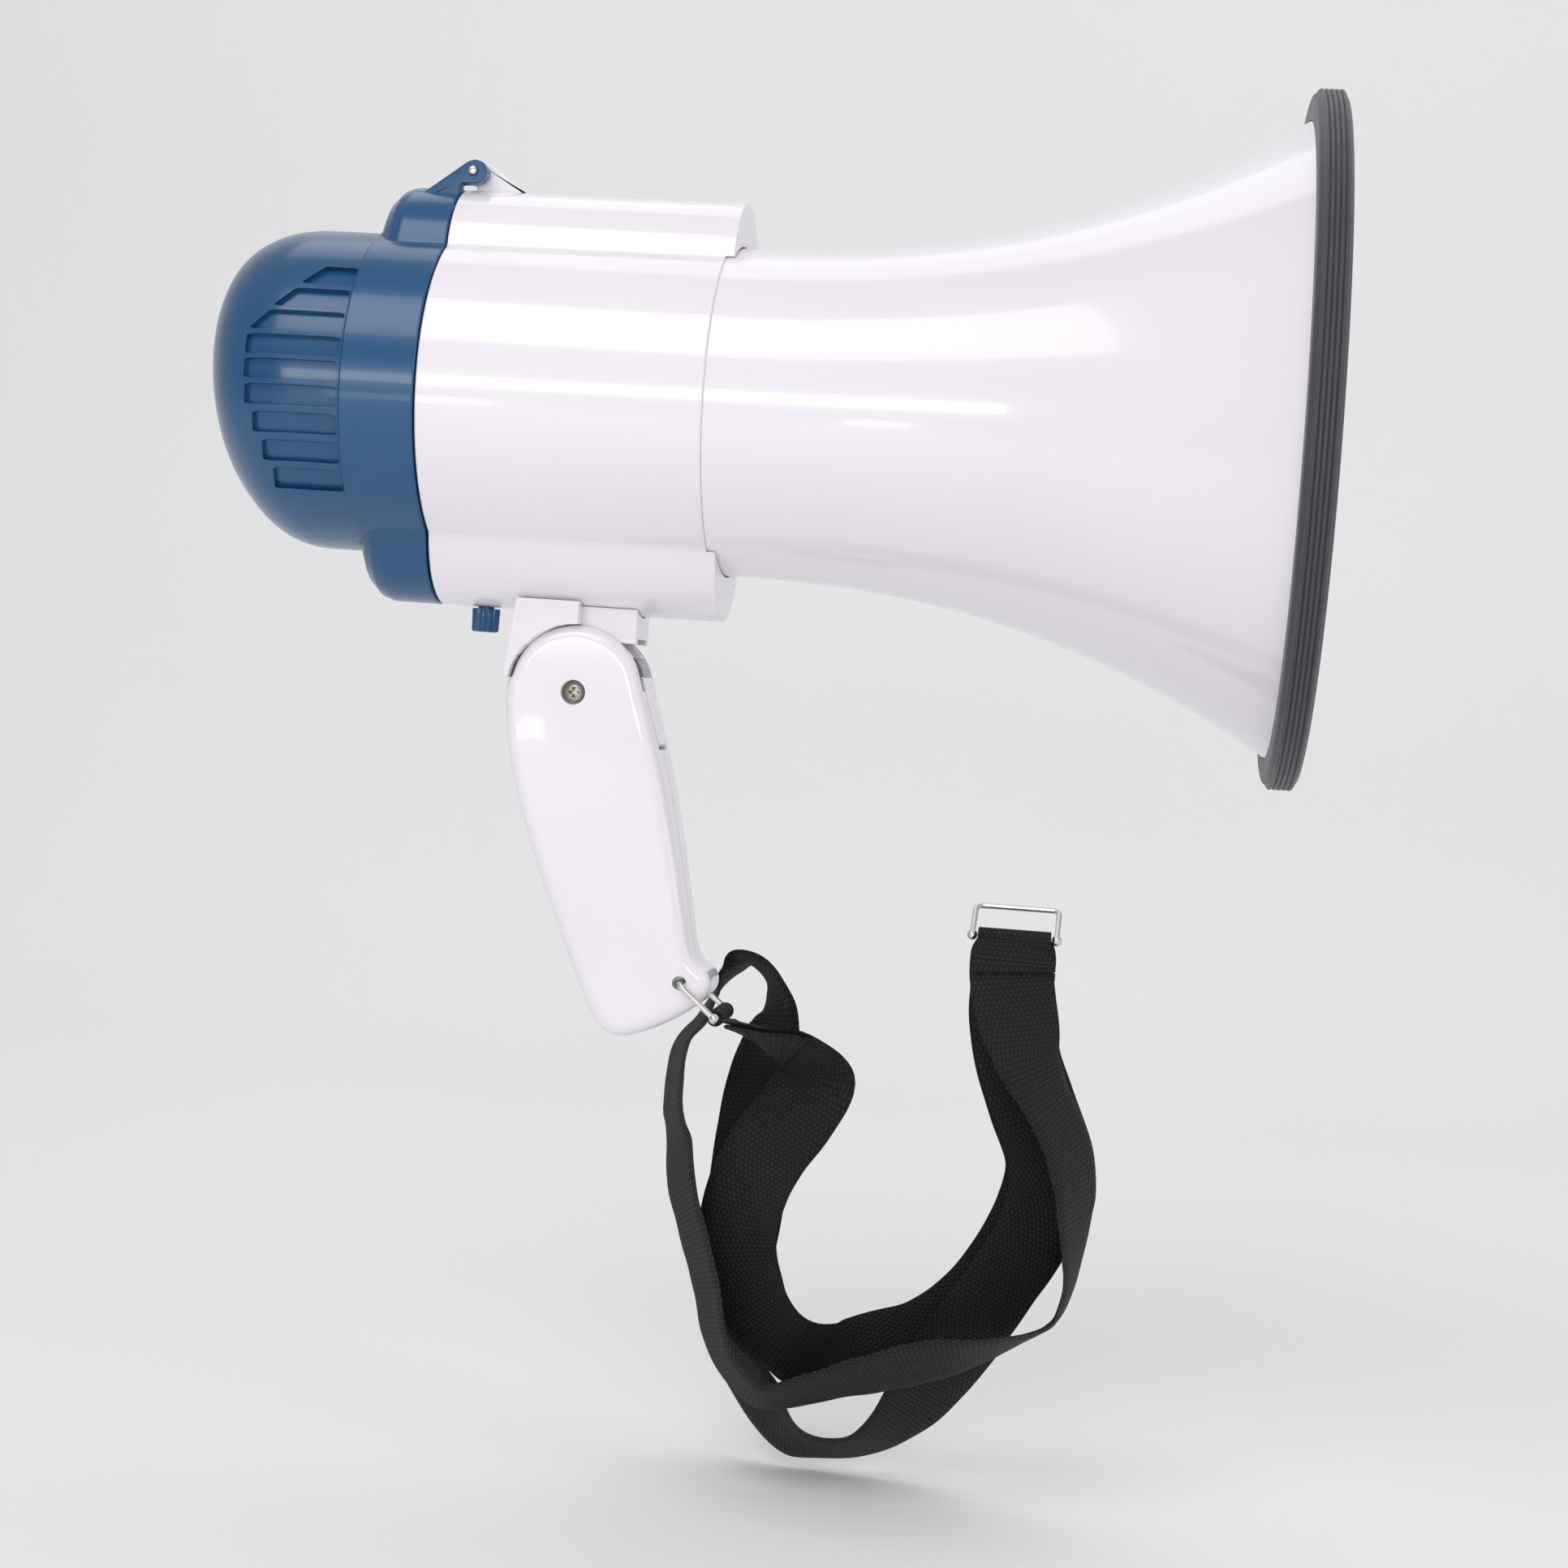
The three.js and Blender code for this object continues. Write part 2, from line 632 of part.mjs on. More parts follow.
function shellScrew(x, z) {
  return rod('y', 1.05, -6.4, 7.6, x, z, 10).add(rod('y', 2.5, 7.3, 8.6, x, z, 12));
}

// the trigger stands just proud of the grip's front, and its tail runs down inside it
function trigger() {
  return plate([[14.6, 4.8], [15.7, 4.4], [20.2, -10.2], [19.3, -11.8], [17.6, -12], [19.8, -24],
    [17.8, -24.4], [15.8, -12], [15.2, -6], [14.7, 0]], -TRIGGER_HALF, TRIGGER_HALF, 0.3);
}

const SWITCH_Z = -22.6;
const SPRING_Z = -15.7;

function triggerSwitch() {
  return box(6, 14, -4, 4, -28, -18.6)
    .add(box(6.5, 8.2, -4, 4, -19, -13.6))
    .subtract(rod('x', 1.6, 10.5, 15, 0, SWITCH_Z, 12));
}

function switchButton() {
  return rod('x', 1.2, 13.4, 17, 0, SWITCH_Z, 10);
}

function triggerSpring() {
  const turns = 4;
  const points = Array.from({ length: turns * 8 + 1 }, (_, i) => {
    const angle = (i * Math.PI) / 4;
    const x = 8.9 + (i * 7) / (turns * 8);
    return [x, 1.8 * Math.cos(angle), SPRING_Z + 1.8 * Math.sin(angle)];
  });
  return bar(points, 0.3, 40, 4);
}

// ---- strap ----
// a wire bail: a bar with two legs that end in small balls; it hangs from the origin along -Z
function bailWire() {
  const corner = 1.6;
  const side = (sign) => [
    [0, sign * (BAIL_HALF - corner), 0],
    [0, sign * (BAIL_HALF - 0.45), -0.45],
    [0, sign * BAIL_HALF, -corner],
    [0, sign * BAIL_HALF, -BAIL_LEG],
  ];
  const route = [...side(-1).reverse(), ...side(1)];
  let body = bar(route, BAIL_WIRE, 24, 6);
  for (const sign of [1, -1]) {
    body = body.add(ball(BALL_RADIUS, 0, sign * BAIL_HALF, -BAIL_LEG));
  }
  return body;
}

const PIN_HALF = BAIL_HALF - 1.5;
const bailPin = () => rod('y', 0.8, -PIN_HALF, PIN_HALF, 0, -BAIL_LEG, 10);

// Stations along the webbing's middle line: x, y, z, then the direction of its width,
// as degrees round from +X towards +Z, and degrees that it leans to +Y.
const STRAP_ROUTE = [
  // first pass: from the grip's bail, down, across and up
  [34, 0, -39, 60, -85], [44, -2, -42, 68, -70], [52, -2, -45, 50, -48], [56, 2, -51, 0, -12],
  [52, 2, -60, -32, -8],
  [46, 2, -69, -32, -8], [42, 1, -78, -20, -10], [40, 0, -89, -4, -12], [42, 0, -100, 10, -14],
  [47, -1, -109, 36, -20],
  [55, -1, -115, 64, -26], [64, 4, -118, 88, -20], [74, 7, -116, 102, -10], [86, 8, -112, 114, -8],
  [96, 8, -104, 130, -8],
  [104, 8, -93, 145, -8], [110, 8, -80, 160, -8], [112, 8, -67, 182, -8], [107, 8, -54, 197, -8],
  [103, 7, -43, 192, -11],
  [101, 6, -33, 184, -14], [101, 4.5, -25, 180, -14],
  // folded over at the top, down again in front
  [101, 3, -23, 180, -14], [101, 1.5, -25, 180, -14], [102, 1.5, -33, 184, -14], [104, 2, -43, 194, -14],
  [108, 2, -53, 198, -12],
  [112, 2, -63, 190, -12], [113, 2, -73, 172, -16], [110, 1, -84, 152, -24], [104, 1, -95, 145, -26],
  [98, 2, -105, 145, -24],
  [91, 6, -117, 144, -26], [84, 7, -128, 136, -38], [75, 6, -137, 112, -58], [66, 6, -140, 90, -62],
  [56, 8, -139, 64, -54],
  [48, 13, -133, 40, -46], [41, 15, -124, 20, -44], [38, 13, -113, 2, -34], [38, 11, -101, -8, -22],
  [40, 9, -87, -8, -15],
  [41, 9, -72, -8, -16], [42, 12, -58, -8, -19], [43, 16, -46, -9, -38], [44, 18, -37, 5, -58],
  [41, 20, -30, 40, -69],
  [35, 23, -27, 84, -76], [31, 24, -30, 130, -82],
  // round behind the grip's nose, down the rear side and forward in front
  [28, 24, -35, -35, -85], [25, 22, -41, -32, -81], [21, 16, -49, -20, -76], [21.5, 6.5, -60, -3, -70],
  [24, 3, -70, 4, -63],
  [26.5, -1.5, -80, 8, -60], [31, -4.5, -92, 14, -60], [34.5, -6, -102, 16, -60], [37, -7, -112, 20, -62],
  [41, -7.5, -119.5, 36, -62],
  [48, -8, -125.5, 68, -59], [54, -8, -125, 98, -58], [65, -9, -121, 104, -57], [76, -10, -117, 103, -50],
  [88, -10, -113, 101, -49],
  [100, -9, -110, 101, -62], [109, -6, -107, 110, -75], [116, -3, -103, 130, -82], [119, -2, -96, 160, -84],
  [120, -3, -88, 173, -78],
  [120, -5, -79, 179, -68], [119, -6, -69, 188, -62], [116, -7, -59, 200, -59], [111, -8, -50, 205, -57],
  [106, -7, -41, 200, -44],
  [103, -4, -32, 189, -20], [101, -2, -23, 183, -11], [101, -1.5, -16, 183, -11],
];

function widthDirection([, , , roll, lean]) {
  const [turn, tilt] = [roll, lean].map(THREE.MathUtils.degToRad);
  return new THREE.Vector3(
    Math.cos(tilt) * Math.cos(turn), Math.sin(tilt), Math.cos(tilt) * Math.sin(turn));
}

// a flat closed strip along a route of stations
function ribbon(route, width, thickness, stepsPerStation) {
  const curve = (points) => new THREE.CatmullRomCurve3(points, false, 'catmullrom');
  const middle = curve(route.map(([x, y, z]) => new THREE.Vector3(x, y, z)));
  const across = curve(route.map(widthDirection));
  const steps = (route.length - 1) * stepsPerStation;
  const corners = [];
  for (let i = 0; i <= steps; i += 1) {
    const centre = middle.getPoint(i / steps);
    const along = middle.getTangent(i / steps);
    const side = across.getPoint(i / steps);
    side.addScaledVector(along, -side.dot(along)).normalize();
    const face = new THREE.Vector3().crossVectors(along, side);
    for (const [a, b] of [[1, 1], [-1, 1], [-1, -1], [1, -1]]) {
      const corner = centre.clone().addScaledVector(side, (a * width) / 2);
      corners.push(...corner.addScaledVector(face, (b * thickness) / 2));
    }
  }
  const index = [0, 1, 2, 0, 2, 3];
  for (let i = 0; i < steps; i += 1) {
    for (let k = 0; k < 4; k += 1) {
      const [a, b] = [4 * i + k, 4 * i + ((k + 1) % 4)];
      index.push(a, a + 4, b, b, a + 4, b + 4);
    }
  }
  const last = 4 * steps;
  index.push(last, last + 2, last + 1, last, last + 3, last + 2);
  const geometry = new THREE.BufferGeometry();
  geometry.setAttribute('position', new THREE.Float32BufferAttribute(corners, 3));
  geometry.setIndex(index);
  return solid(isInsideOut(geometry) ? flipped(geometry) : geometry);
}

const STRAP_HOLE = [PIVOT_X + HOLE_X, PIVOT_Z + HOLE_Z];
const bailTurn = THREE.MathUtils.degToRad(BAIL_SWING);
const GRIP_PIN = [
  STRAP_HOLE[0] + BAIL_LEG * Math.sin(bailTurn),
  STRAP_HOLE[1] - BAIL_LEG * Math.cos(bailTurn),
];

// the webbing ends in a sewn sleeve round each bail's pin
function strapWebbing() {
  const half = PIN_HALF - 0.1;
  const [pinX, pinY, pinZ] = END_PIN;
  const [gripX, gripZ] = GRIP_PIN;
  let body = ribbon(STRAP_ROUTE, STRAP_WIDTH, STRAP_THICKNESS, 2);
  for (const sign of [1, -1]) {
    body = body.subtract(ball(BALL_RADIUS + GAP, gripX, sign * BAIL_HALF, gripZ));
  }
  return body
    .add(rod('y', 2.1, -half, half, ...GRIP_PIN, 16))
    .add(rod('x', 2.1, pinX - half, pinX + half, pinY, pinZ, 16))
    .subtract(rod('y', 1.1, -half - 2, half + 2, ...GRIP_PIN, 12))
    .subtract(rod('x', 1.1, pinX - half - 2, pinX + half + 2, pinY, pinZ, 12));
}

// ---- assembly ----
const group = new THREE.Group();

const hornAxis = new THREE.Group();
hornAxis.position.set(0, 0, AXIS_HEIGHT);
group.add(hornAxis);
hornAxis.add(node('horn_bell', hornBell(), white));
hornAxis.add(node('bell_rim_guard', bellRim(), rubber));
hornAxis.add(node('horn_reflector', hornReflector(), white));
hornAxis.add(node('tone_tube', toneTube(), darkPlastic));
hornAxis.add(node('driver_frame', driverFrame(), steel));
hornAxis.add(node('driver_magnet', driverMagnet(), darkPlastic));
hornAxis.add(node('driver_diaphragm', driverDiaphragm(), coneFilm));
hornAxis.add(node('body_housing', bodyHousing(), white));
hornAxis.add(node('cap_hinge_pin', capHingePin(), steel));
hornAxis.add(node('rear_cap', rearCap(), blue));
hornAxis.add(node('microphone_capsule', microphone(), steel));
hornAxis.add(node('microphone_holder', microphoneHolder(), foam));
hornAxis.add(node('battery_tray', batteryTray(), darkPlastic));
let cellNumber = 0;
for (const y of [-CELL_SPACING, CELL_SPACING]) {
  for (const z of [-CELL_SPACING, CELL_SPACING]) {
    cellNumber += 1;
    const cell = node(`battery_cell_${cellNumber}`, batteryCell(), cellSleeve);
    const contact = node(`cell_contact_${cellNumber}`, cellContact(), steel);
    for (const piece of [cell, contact]) {
      piece.position.set(CELL_REAR_X, y, z);
      hornAxis.add(piece);
    }
  }
}
hornAxis.add(node('amplifier_board', amplifierBoard(), copperFoil));
hornAxis.add(node('volume_control', volumeControl(), darkPlastic));
hornAxis.add(node('volume_knob', volumeKnob(), blue));

const pivot = new THREE.Group();
pivot.position.set(PIVOT_X, 0, PIVOT_Z);
group.add(pivot);
pivot.add(node('handle_bracket', handleBracket(), white));
BRACKET_SCREWS.forEach((x, i) => {
  pivot.add(node(`bracket_screw_${i + 1}`, bracketScrew(x), steel));
});
const grip = gripForm();
pivot.add(node('grip_shell_near', nearHalf(grip), white));
pivot.add(node('grip_shell_far', farHalf(grip), white));
pivot.add(node('pivot_bolt', pivotBolt(), steel));
pivot.add(node('pivot_nut', pivotNut(), steel));
SHELL_SCREWS.forEach(([x, z], i) => {
  pivot.add(node(`grip_screw_${i + 1}`, shellScrew(x, z), steel));
});
pivot.add(node('trigger', trigger(), white));
pivot.add(node('trigger_switch', triggerSwitch(), darkPlastic));
pivot.add(node('switch_button', switchButton(), blue));
pivot.add(node('trigger_spring', triggerSpring(), steel));


const gripBail = new THREE.Group();
gripBail.position.set(STRAP_HOLE[0], 0, STRAP_HOLE[1]);
gripBail.rotation.y = -bailTurn;
gripBail.add(node('strap_bail', bailWire(), steel));
gripBail.add(node('strap_pin', bailPin(), steel));
group.add(gripBail);
group.add(node('strap_webbing', strapWebbing(), webbing));

const endBail = new THREE.Group();
endBail.position.set(...END_PIN);
endBail.rotation.set(-THREE.MathUtils.degToRad(END_LEAN), 0, Math.PI / 2);
for (const piece of [node('end_bail', bailWire(), steel), node('end_pin', bailPin(), steel)]) {
  piece.position.z = BAIL_LEG;
  endBail.add(piece);
}
group.add(endBail);

export default group;
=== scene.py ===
"""Handheld megaphone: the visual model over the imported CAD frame. Sizes are in millimetres
until a mesh is made, and every mesh is in metres in the CAD's frame."""
import json
import math
from contextlib import contextmanager

import bmesh
import bpy
import numpy as np
from mathutils import Matrix, Vector


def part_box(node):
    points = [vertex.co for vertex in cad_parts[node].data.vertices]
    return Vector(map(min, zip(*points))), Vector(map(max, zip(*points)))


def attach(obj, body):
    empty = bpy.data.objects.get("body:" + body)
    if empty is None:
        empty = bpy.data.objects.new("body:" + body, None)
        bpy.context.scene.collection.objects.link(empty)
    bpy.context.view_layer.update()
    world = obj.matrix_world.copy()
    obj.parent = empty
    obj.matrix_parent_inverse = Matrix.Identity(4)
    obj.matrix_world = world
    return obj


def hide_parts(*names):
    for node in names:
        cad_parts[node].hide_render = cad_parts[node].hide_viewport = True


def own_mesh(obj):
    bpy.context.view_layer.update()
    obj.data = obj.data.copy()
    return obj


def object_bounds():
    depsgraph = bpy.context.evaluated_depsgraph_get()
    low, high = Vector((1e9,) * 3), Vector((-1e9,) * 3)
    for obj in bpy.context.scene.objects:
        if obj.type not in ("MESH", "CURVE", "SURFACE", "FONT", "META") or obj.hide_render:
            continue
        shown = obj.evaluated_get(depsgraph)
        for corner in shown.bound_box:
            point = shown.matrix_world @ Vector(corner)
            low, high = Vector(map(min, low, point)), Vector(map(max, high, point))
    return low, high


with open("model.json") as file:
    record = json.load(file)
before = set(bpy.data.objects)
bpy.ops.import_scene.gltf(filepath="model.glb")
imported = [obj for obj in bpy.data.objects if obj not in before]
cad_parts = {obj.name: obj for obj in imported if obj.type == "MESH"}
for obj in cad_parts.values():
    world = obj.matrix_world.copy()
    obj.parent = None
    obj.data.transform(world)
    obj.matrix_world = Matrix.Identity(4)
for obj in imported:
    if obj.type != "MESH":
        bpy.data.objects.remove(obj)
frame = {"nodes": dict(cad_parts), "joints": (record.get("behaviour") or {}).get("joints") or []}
cad_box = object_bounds()

MM = 0.001


def box_mm(node):
    low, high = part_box(node)
    return [c / MM for c in low], [c / MM for c in high]


def centre_mm(node):
    return [(a + b) / 2 for a, b in zip(*box_mm(node))]


# ---- driving dimensions, from the frame ----
RIM_LOW, RIM_HIGH = box_mm("bell_rim_guard")
AXIS_Z = (RIM_LOW[2] + RIM_HIGH[2]) / 2
RIM_X = RIM_HIGH[0]
RIM_BACK = RIM_LOW[0]
RIM_RADIUS = (RIM_HIGH[2] - RIM_LOW[2]) / 2
BARREL_RADIUS = box_mm("body_housing")[1][1]
WELD = 2e-6                         # metres
WALL = 2.0
GAP = 0.3
SEAM_X = 25.0
BARREL_REAR_X = -41.0
CAP_BAND_X = -58.0
CAP_REAR_X = -97.6
FLARE_GAIN, FLARE_LENGTH, FLARE_POWER = 36.5, 134.0, 2.33
POD_RADIUS = 19.3
POD_OFFSET = 30.3
POD_FRONT_X = 27.0
HINGE = centre_mm("cap_hinge_pin")
PIVOT = [c / MM for joint in frame["joints"] if joint["name"] == "handle_fold"
         for c in joint["pos_m"]]
PIN_BORE = 1.1
HANDLE_TOP_RADIUS = 15.8
HANDLE_HALF = box_mm("grip_shell_far")[1][1]
HANDLE_HALF_LOW = 8.8
HOLE = (29.2, -66.6)                # strap hole from the pivot
STRAP_WIDTH = 20.0
STRAP_THICKNESS = 1.2


# ---- mesh helpers ----
def add_object(name, data):
    obj = bpy.data.objects.new(name, data)
    bpy.context.scene.collection.objects.link(obj)
    return obj


@contextmanager
def editing(mesh):
    bm = bmesh.new()
    bm.from_mesh(mesh)
    yield bm
    bm.to_mesh(mesh)
    bm.free()


def make_mesh(name, points, faces):
    mesh = bpy.data.meshes.new(name)
    mesh.from_pydata([tuple(c * MM for c in p) for p in points], [], faces)
    with editing(mesh) as bm:
        bmesh.ops.remove_doubles(bm, verts=bm.verts, dist=WELD)
        bmesh.ops.recalc_face_normals(bm, faces=bm.faces)
    return mesh


def smooth(mesh, degrees=32):
    for polygon in mesh.polygons:
        polygon.use_smooth = True
    mesh.set_sharp_from_angle(angle=math.radians(degrees))
    return mesh


def ring_faces(count, rings, closed=False):
    """Faces between rings of count points, with an end cap on each open end."""
    faces = []
    for i in range(rings if closed else rings - 1):
        a, b = i * count, ((i + 1) % rings) * count
        for k in range(count):
            j = (k + 1) % count
            faces.append((a + k, a + j, b + j, b + k))
    if not closed:
        faces += [tuple(range(count)), tuple((rings - 1) * count + k for k in range(count))]
    return faces


def loft(name, rings, closed=False):
    """Skins rings of equal length; closed joins the last ring to the first."""
    points = [p for ring in rings for p in ring]
    return make_mesh(name, points, ring_faces(len(rings[0]), len(rings), closed))


def lathe(name, profile, segments=144, centre=(0.0, None), axis="x"):
    """Turns a closed [along, radius] profile about an axis parallel to X, Y or Z."""
    side, up = centre[0], AXIS_Z if centre[1] is None else centre[1]
    rings = []
    for k in range(segments):
        c, s = math.cos(2 * math.pi * k / segments), math.sin(2 * math.pi * k / segments)
        ring = []
        for along, radius in profile:
            a, b = radius * c, radius * s
            if axis == "x":
                ring.append((along, side + a, up + b))
            elif axis == "y":
                ring.append((side + a, along, up + b))
            else:
                ring.append((side + a, up + b, along))
        rings.append(ring)
    mesh = loft(name, rings, closed=True)
    with editing(mesh) as bm:
        flat = [f for f in bm.faces if f.calc_area() < 1e-14]
        bmesh.ops.delete(bm, geom=flat, context="FACES")
        bmesh.ops.dissolve_degenerate(bm, dist=1e-7, edges=bm.edges)
    return mesh


def rounded(profile, radius, steps=4):
    """Rounds the corners of a closed profile of (a, b) points."""
    out = []
    count = len(profile)
    for i in range(count):
        p0, p1, p2 = (Vector(profile[(i + d) % count]) for d in (-1, 0, 1))
        reach = min(radius, (p0 - p1).length * 0.45, (p2 - p1).length * 0.45)
        start, end = p1 + (p0 - p1).normalized() * reach, p1 + (p2 - p1).normalized() * reach
        for k in range(steps + 1):
            t = k / steps
            out.append(tuple(start * (1 - t) ** 2 + p1 * 2 * t * (1 - t) + end * t * t))
    return out


def boolean(mesh, other, operation="DIFFERENCE"):
    """Cuts, joins or crosses two meshes, and returns the result."""
    base, tool = add_object("base", mesh), add_object("tool", other)
    modifier = base.modifiers.new("cut", "BOOLEAN")
    modifier.operation = operation
    modifier.solver = "EXACT"
    modifier.object = tool
    depsgraph = bpy.context.evaluated_depsgraph_get()
    result = bpy.data.meshes.new_from_object(base.evaluated_get(depsgraph))
    for obj in (base, tool):
        bpy.data.objects.remove(obj)
    return result


def cut(mesh, *tools):
    for tool in tools:
        mesh = boolean(mesh, tool)
    return mesh


def join(mesh, *others):
    for other in others:
        mesh = boolean(mesh, other, "UNION")
    return mesh


def merged(*meshes):
    bm = bmesh.new()
    for mesh in meshes:
        bm.from_mesh(mesh)
    out = bpy.data.meshes.new("merged")
    bm.to_mesh(out)
    bm.free()
    return out


def rod(axis, radius, low, high, a=0.0, b=0.0, segments=64):
    profile = [(low, 0), (low, radius), (high, radius), (high, 0)]
    return lathe("rod", profile, segments, (a, b), axis)


def block(x0, x1, y0, y1, z0, z1):
    ring = [(y0, z0), (y1, z0), (y1, z1), (y0, z1)]
    return loft("block", [[(x, y, z) for y, z in ring] for x in (x0, x1)])


def prism(outline, y0, y1, edge=0.5, steps=3, centre=(0.0, 0.0)):
    """A side outline of (x, z) points between y0 and y1, with rounded edges."""
    outline = np.array(outline, float) + np.array(centre)
    inset = inward(outline)
    rings = []
    for sign, y in ((1, y0), (-1, y1)):
        levels = [math.pi / 2 * k / steps for k in range(steps + 1)]
        part = []
        for angle in levels:
            loop = outline + inset * edge * (1 - math.sin(angle))
            depth = y + sign * edge * (1 - math.cos(angle))
            part.append([(x, depth, z) for x, z in loop])
        rings.extend(part if sign > 0 else part[::-1])
    return loft("prism", rings)


def inward(outline):
    """Unit vectors into a closed outline, mitred at its corners."""
    before, after = np.roll(outline, 1, 0), np.roll(outline, -1, 0)
    area = np.sum(outline[:, 0] * after[:, 1] - after[:, 0] * outline[:, 1])
    turn = 1.0 if area > 0 else -1.0

    def normal(edge):
        edge = edge / np.linalg.norm(edge, axis=1)[:, None]
        return turn * np.stack([-edge[:, 1], edge[:, 0]], 1)

    n0, n1 = normal(outline - before), normal(after - outline)
    total = n0 + n1
    scale = np.clip(np.sum(total * n0, 1), 0.5, None)
    return total / scale[:, None]


def catmull(points, steps, closed=False):
    """Points of a smooth curve through the given ones."""
    pts = np.array(points, float)
    ring = np.vstack([pts[-1:], pts, pts[:2]]) if closed else np.vstack(
        [2 * pts[0] - pts[1], pts, 2 * pts[-1] - pts[-2]])
    out = []
    spans = len(pts) if closed else len(pts) - 1
    for i in range(spans):
        p0, p1, p2, p3 = ring[i:i + 4]
        for k in range(steps):
            t = k / steps
            out.append(0.5 * (2 * p1 + (p2 - p0) * t + (2 * p0 - 5 * p1 + 4 * p2 - p3) * t * t
                              + (3 * p1 - p0 - 3 * p2 + p3) * t ** 3))
    if not closed:
        out.append(pts[-1])
    return np.array(out)


def tube(name, path, radius, sides=16):
    """A round bar along a path, with flat ends."""
    pts = [Vector(p) for p in path]
    rings = []
    up = Vector((0.31, 0.87, 0.38))
    for i, p in enumerate(pts):
        ahead, behind = pts[min(i + 1, len(pts) - 1)], pts[max(i - 1, 0)]
        along = (ahead - behind).normalized()
        side = along.cross(up).normalized()
        up = side.cross(along).normalized()
        rings.append([tuple(p + radius * (math.cos(a) * side + math.sin(a) * up))
                      for a in (2 * math.pi * k / sides for k in range(sides))])
    return loft(name, rings)


def sphere(radius, centre, segments=24):
    profile = [(centre[0] - radius * math.cos(math.pi * i / 12), radius * math.sin(math.pi * i / 12))
               for i in range(13)]
    return lathe("ball", profile, segments, (centre[1], centre[2]))


# ---- materials ----
class Nodes:
    """A short way to write a material's node tree."""

    def __init__(self, name):
        self.material = bpy.data.materials.new(name)
        self.material.use_nodes = True
        self.tree = self.material.node_tree
        self.shader = self.tree.nodes["Principled BSDF"]

    def add(self, kind, **inputs):
        node = self.tree.nodes.new(kind)
        for key, value in inputs.items():
            self.set(node, key.replace("_", " "), value)
        return node

    def set(self, node, key, value):
        socket = node.inputs[int(key)] if key.isdigit() else node.inputs[key]
        if isinstance(value, bpy.types.NodeSocket):
            self.tree.links.new(value, socket)
        else:
            socket.default_value = value

    def surface(self, **inputs):
        for key, value in inputs.items():
            self.set(self.shader, key.replace("_", " "), value)

    def math(self, operation, a, b=0.0, c=0.0):
        node = self.tree.nodes.new("ShaderNodeMath")
        node.operation = operation
        for i, value in enumerate((a, b, c)):
            self.set(node, str(i), value)
        return node.outputs[0]

    def coordinates(self, scale=(1, 1, 1)):
        place = self.add("ShaderNodeTexCoord").outputs["Object"]
        mapping = self.add("ShaderNodeMapping", Vector=place, Scale=scale)
        return mapping.outputs[0]

    def noise(self, scale, detail=4.0, stretch=(1, 1, 1), roughness=0.55):
        return self.add("ShaderNodeTexNoise", Vector=self.coordinates(stretch), Scale=scale,
                        Detail=detail, Roughness=roughness).outputs["Fac"]

    def ramp(self, value, low, high, start=0.3, end=0.7):
        node = self.tree.nodes.new("ShaderNodeMapRange")
        for key, v in (("Value", value), ("From Min", start), ("From Max", end),
                       ("To Min", low), ("To Max", high)):
            self.set(node, key, v)
        return node.outputs["Result"]

    def mix(self, factor, a, b):
        node = self.tree.nodes.new("ShaderNodeMix")
        node.data_type = "RGBA"
        self.set(node, "0", factor)
        for socket, value in zip([s for s in node.inputs if s.type == "RGBA"], (a, b)):
            if isinstance(value, bpy.types.NodeSocket):
                self.tree.links.new(value, socket)
            else:
                socket.default_value = (*value, 1)
        return [s for s in node.outputs if s.type == "RGBA"][0]

    def bump(self, height, distance, strength=1.0, edge=None):
        node = self.add("ShaderNodeBump", Height=height, Distance=distance, Strength=strength)
        if edge:
            rounding = self.tree.nodes.new("ShaderNodeBevel")
            rounding.samples = 4
            rounding.inputs["Radius"].default_value = edge
            self.tree.links.new(rounding.outputs[0], node.inputs["Normal"])
        self.set(self.shader, "Normal", node.outputs[0])


def plastic(name, color, shade, roughness, coat=0.0, edge=0.0003, grain=0.00002):
    """Moulded plastic: a slow tint change, faint orange peel, hairline scuffs."""
    n = Nodes(name)
    cloud = n.noise(9.0, 3.0)
    scuff = n.noise(130.0, 6.0, (0.25, 1, 2.2), 0.7)
    tint = n.mix(n.ramp(cloud, 0.0, 1.0), color, shade)
    marks = n.ramp(scuff, 0.0, 1.0, 0.66, 0.76)
    worn = n.mix(n.math("MULTIPLY", marks, 0.18), tint, tuple(c * 0.8 for c in shade))
    dull = n.math("ADD", n.ramp(cloud, roughness - 0.03, roughness + 0.05),
                  n.math("MULTIPLY", marks, 0.16))
    n.surface(Base_Color=worn, Roughness=dull, Coat_Weight=coat, Coat_Roughness=0.04, IOR=1.49)
    n.bump(n.noise(900.0, 2.0), grain, 0.5, edge)
    return n.material


def metal(name, color, roughness, stretch=(1, 1, 1)):
    n = Nodes(name)
    brushed = n.noise(700.0, 5.0, stretch)
    dull = n.noise(60.0, 4.0)
    tint = n.mix(n.ramp(dull, 0.0, 1.0, 0.45, 0.75), color, tuple(c * 0.72 for c in color))
    n.surface(Base_Color=tint, Roughness=n.ramp(brushed, roughness - 0.06, roughness + 0.12),
              Metallic=1.0)
    n.bump(brushed, 0.000012, 0.6, 0.00015)
    return n.material


def rubber(name, color, dust):
    n = Nodes(name)
    cloud = n.noise(22.0, 5.0)
    speck = n.noise(420.0, 4.0)
    n.surface(Base_Color=n.mix(n.ramp(cloud, 0.0, 0.5, 0.4, 0.75), color, dust),
              Roughness=n.ramp(speck, 0.48, 0.68), Sheen_Weight=0.15)
    n.bump(speck, 0.00006, 0.7, 0.0002)
    return n.material


RIB_PITCH = 1.15                    # along the webbing
COLUMN_PITCH = 0.6                  # across it


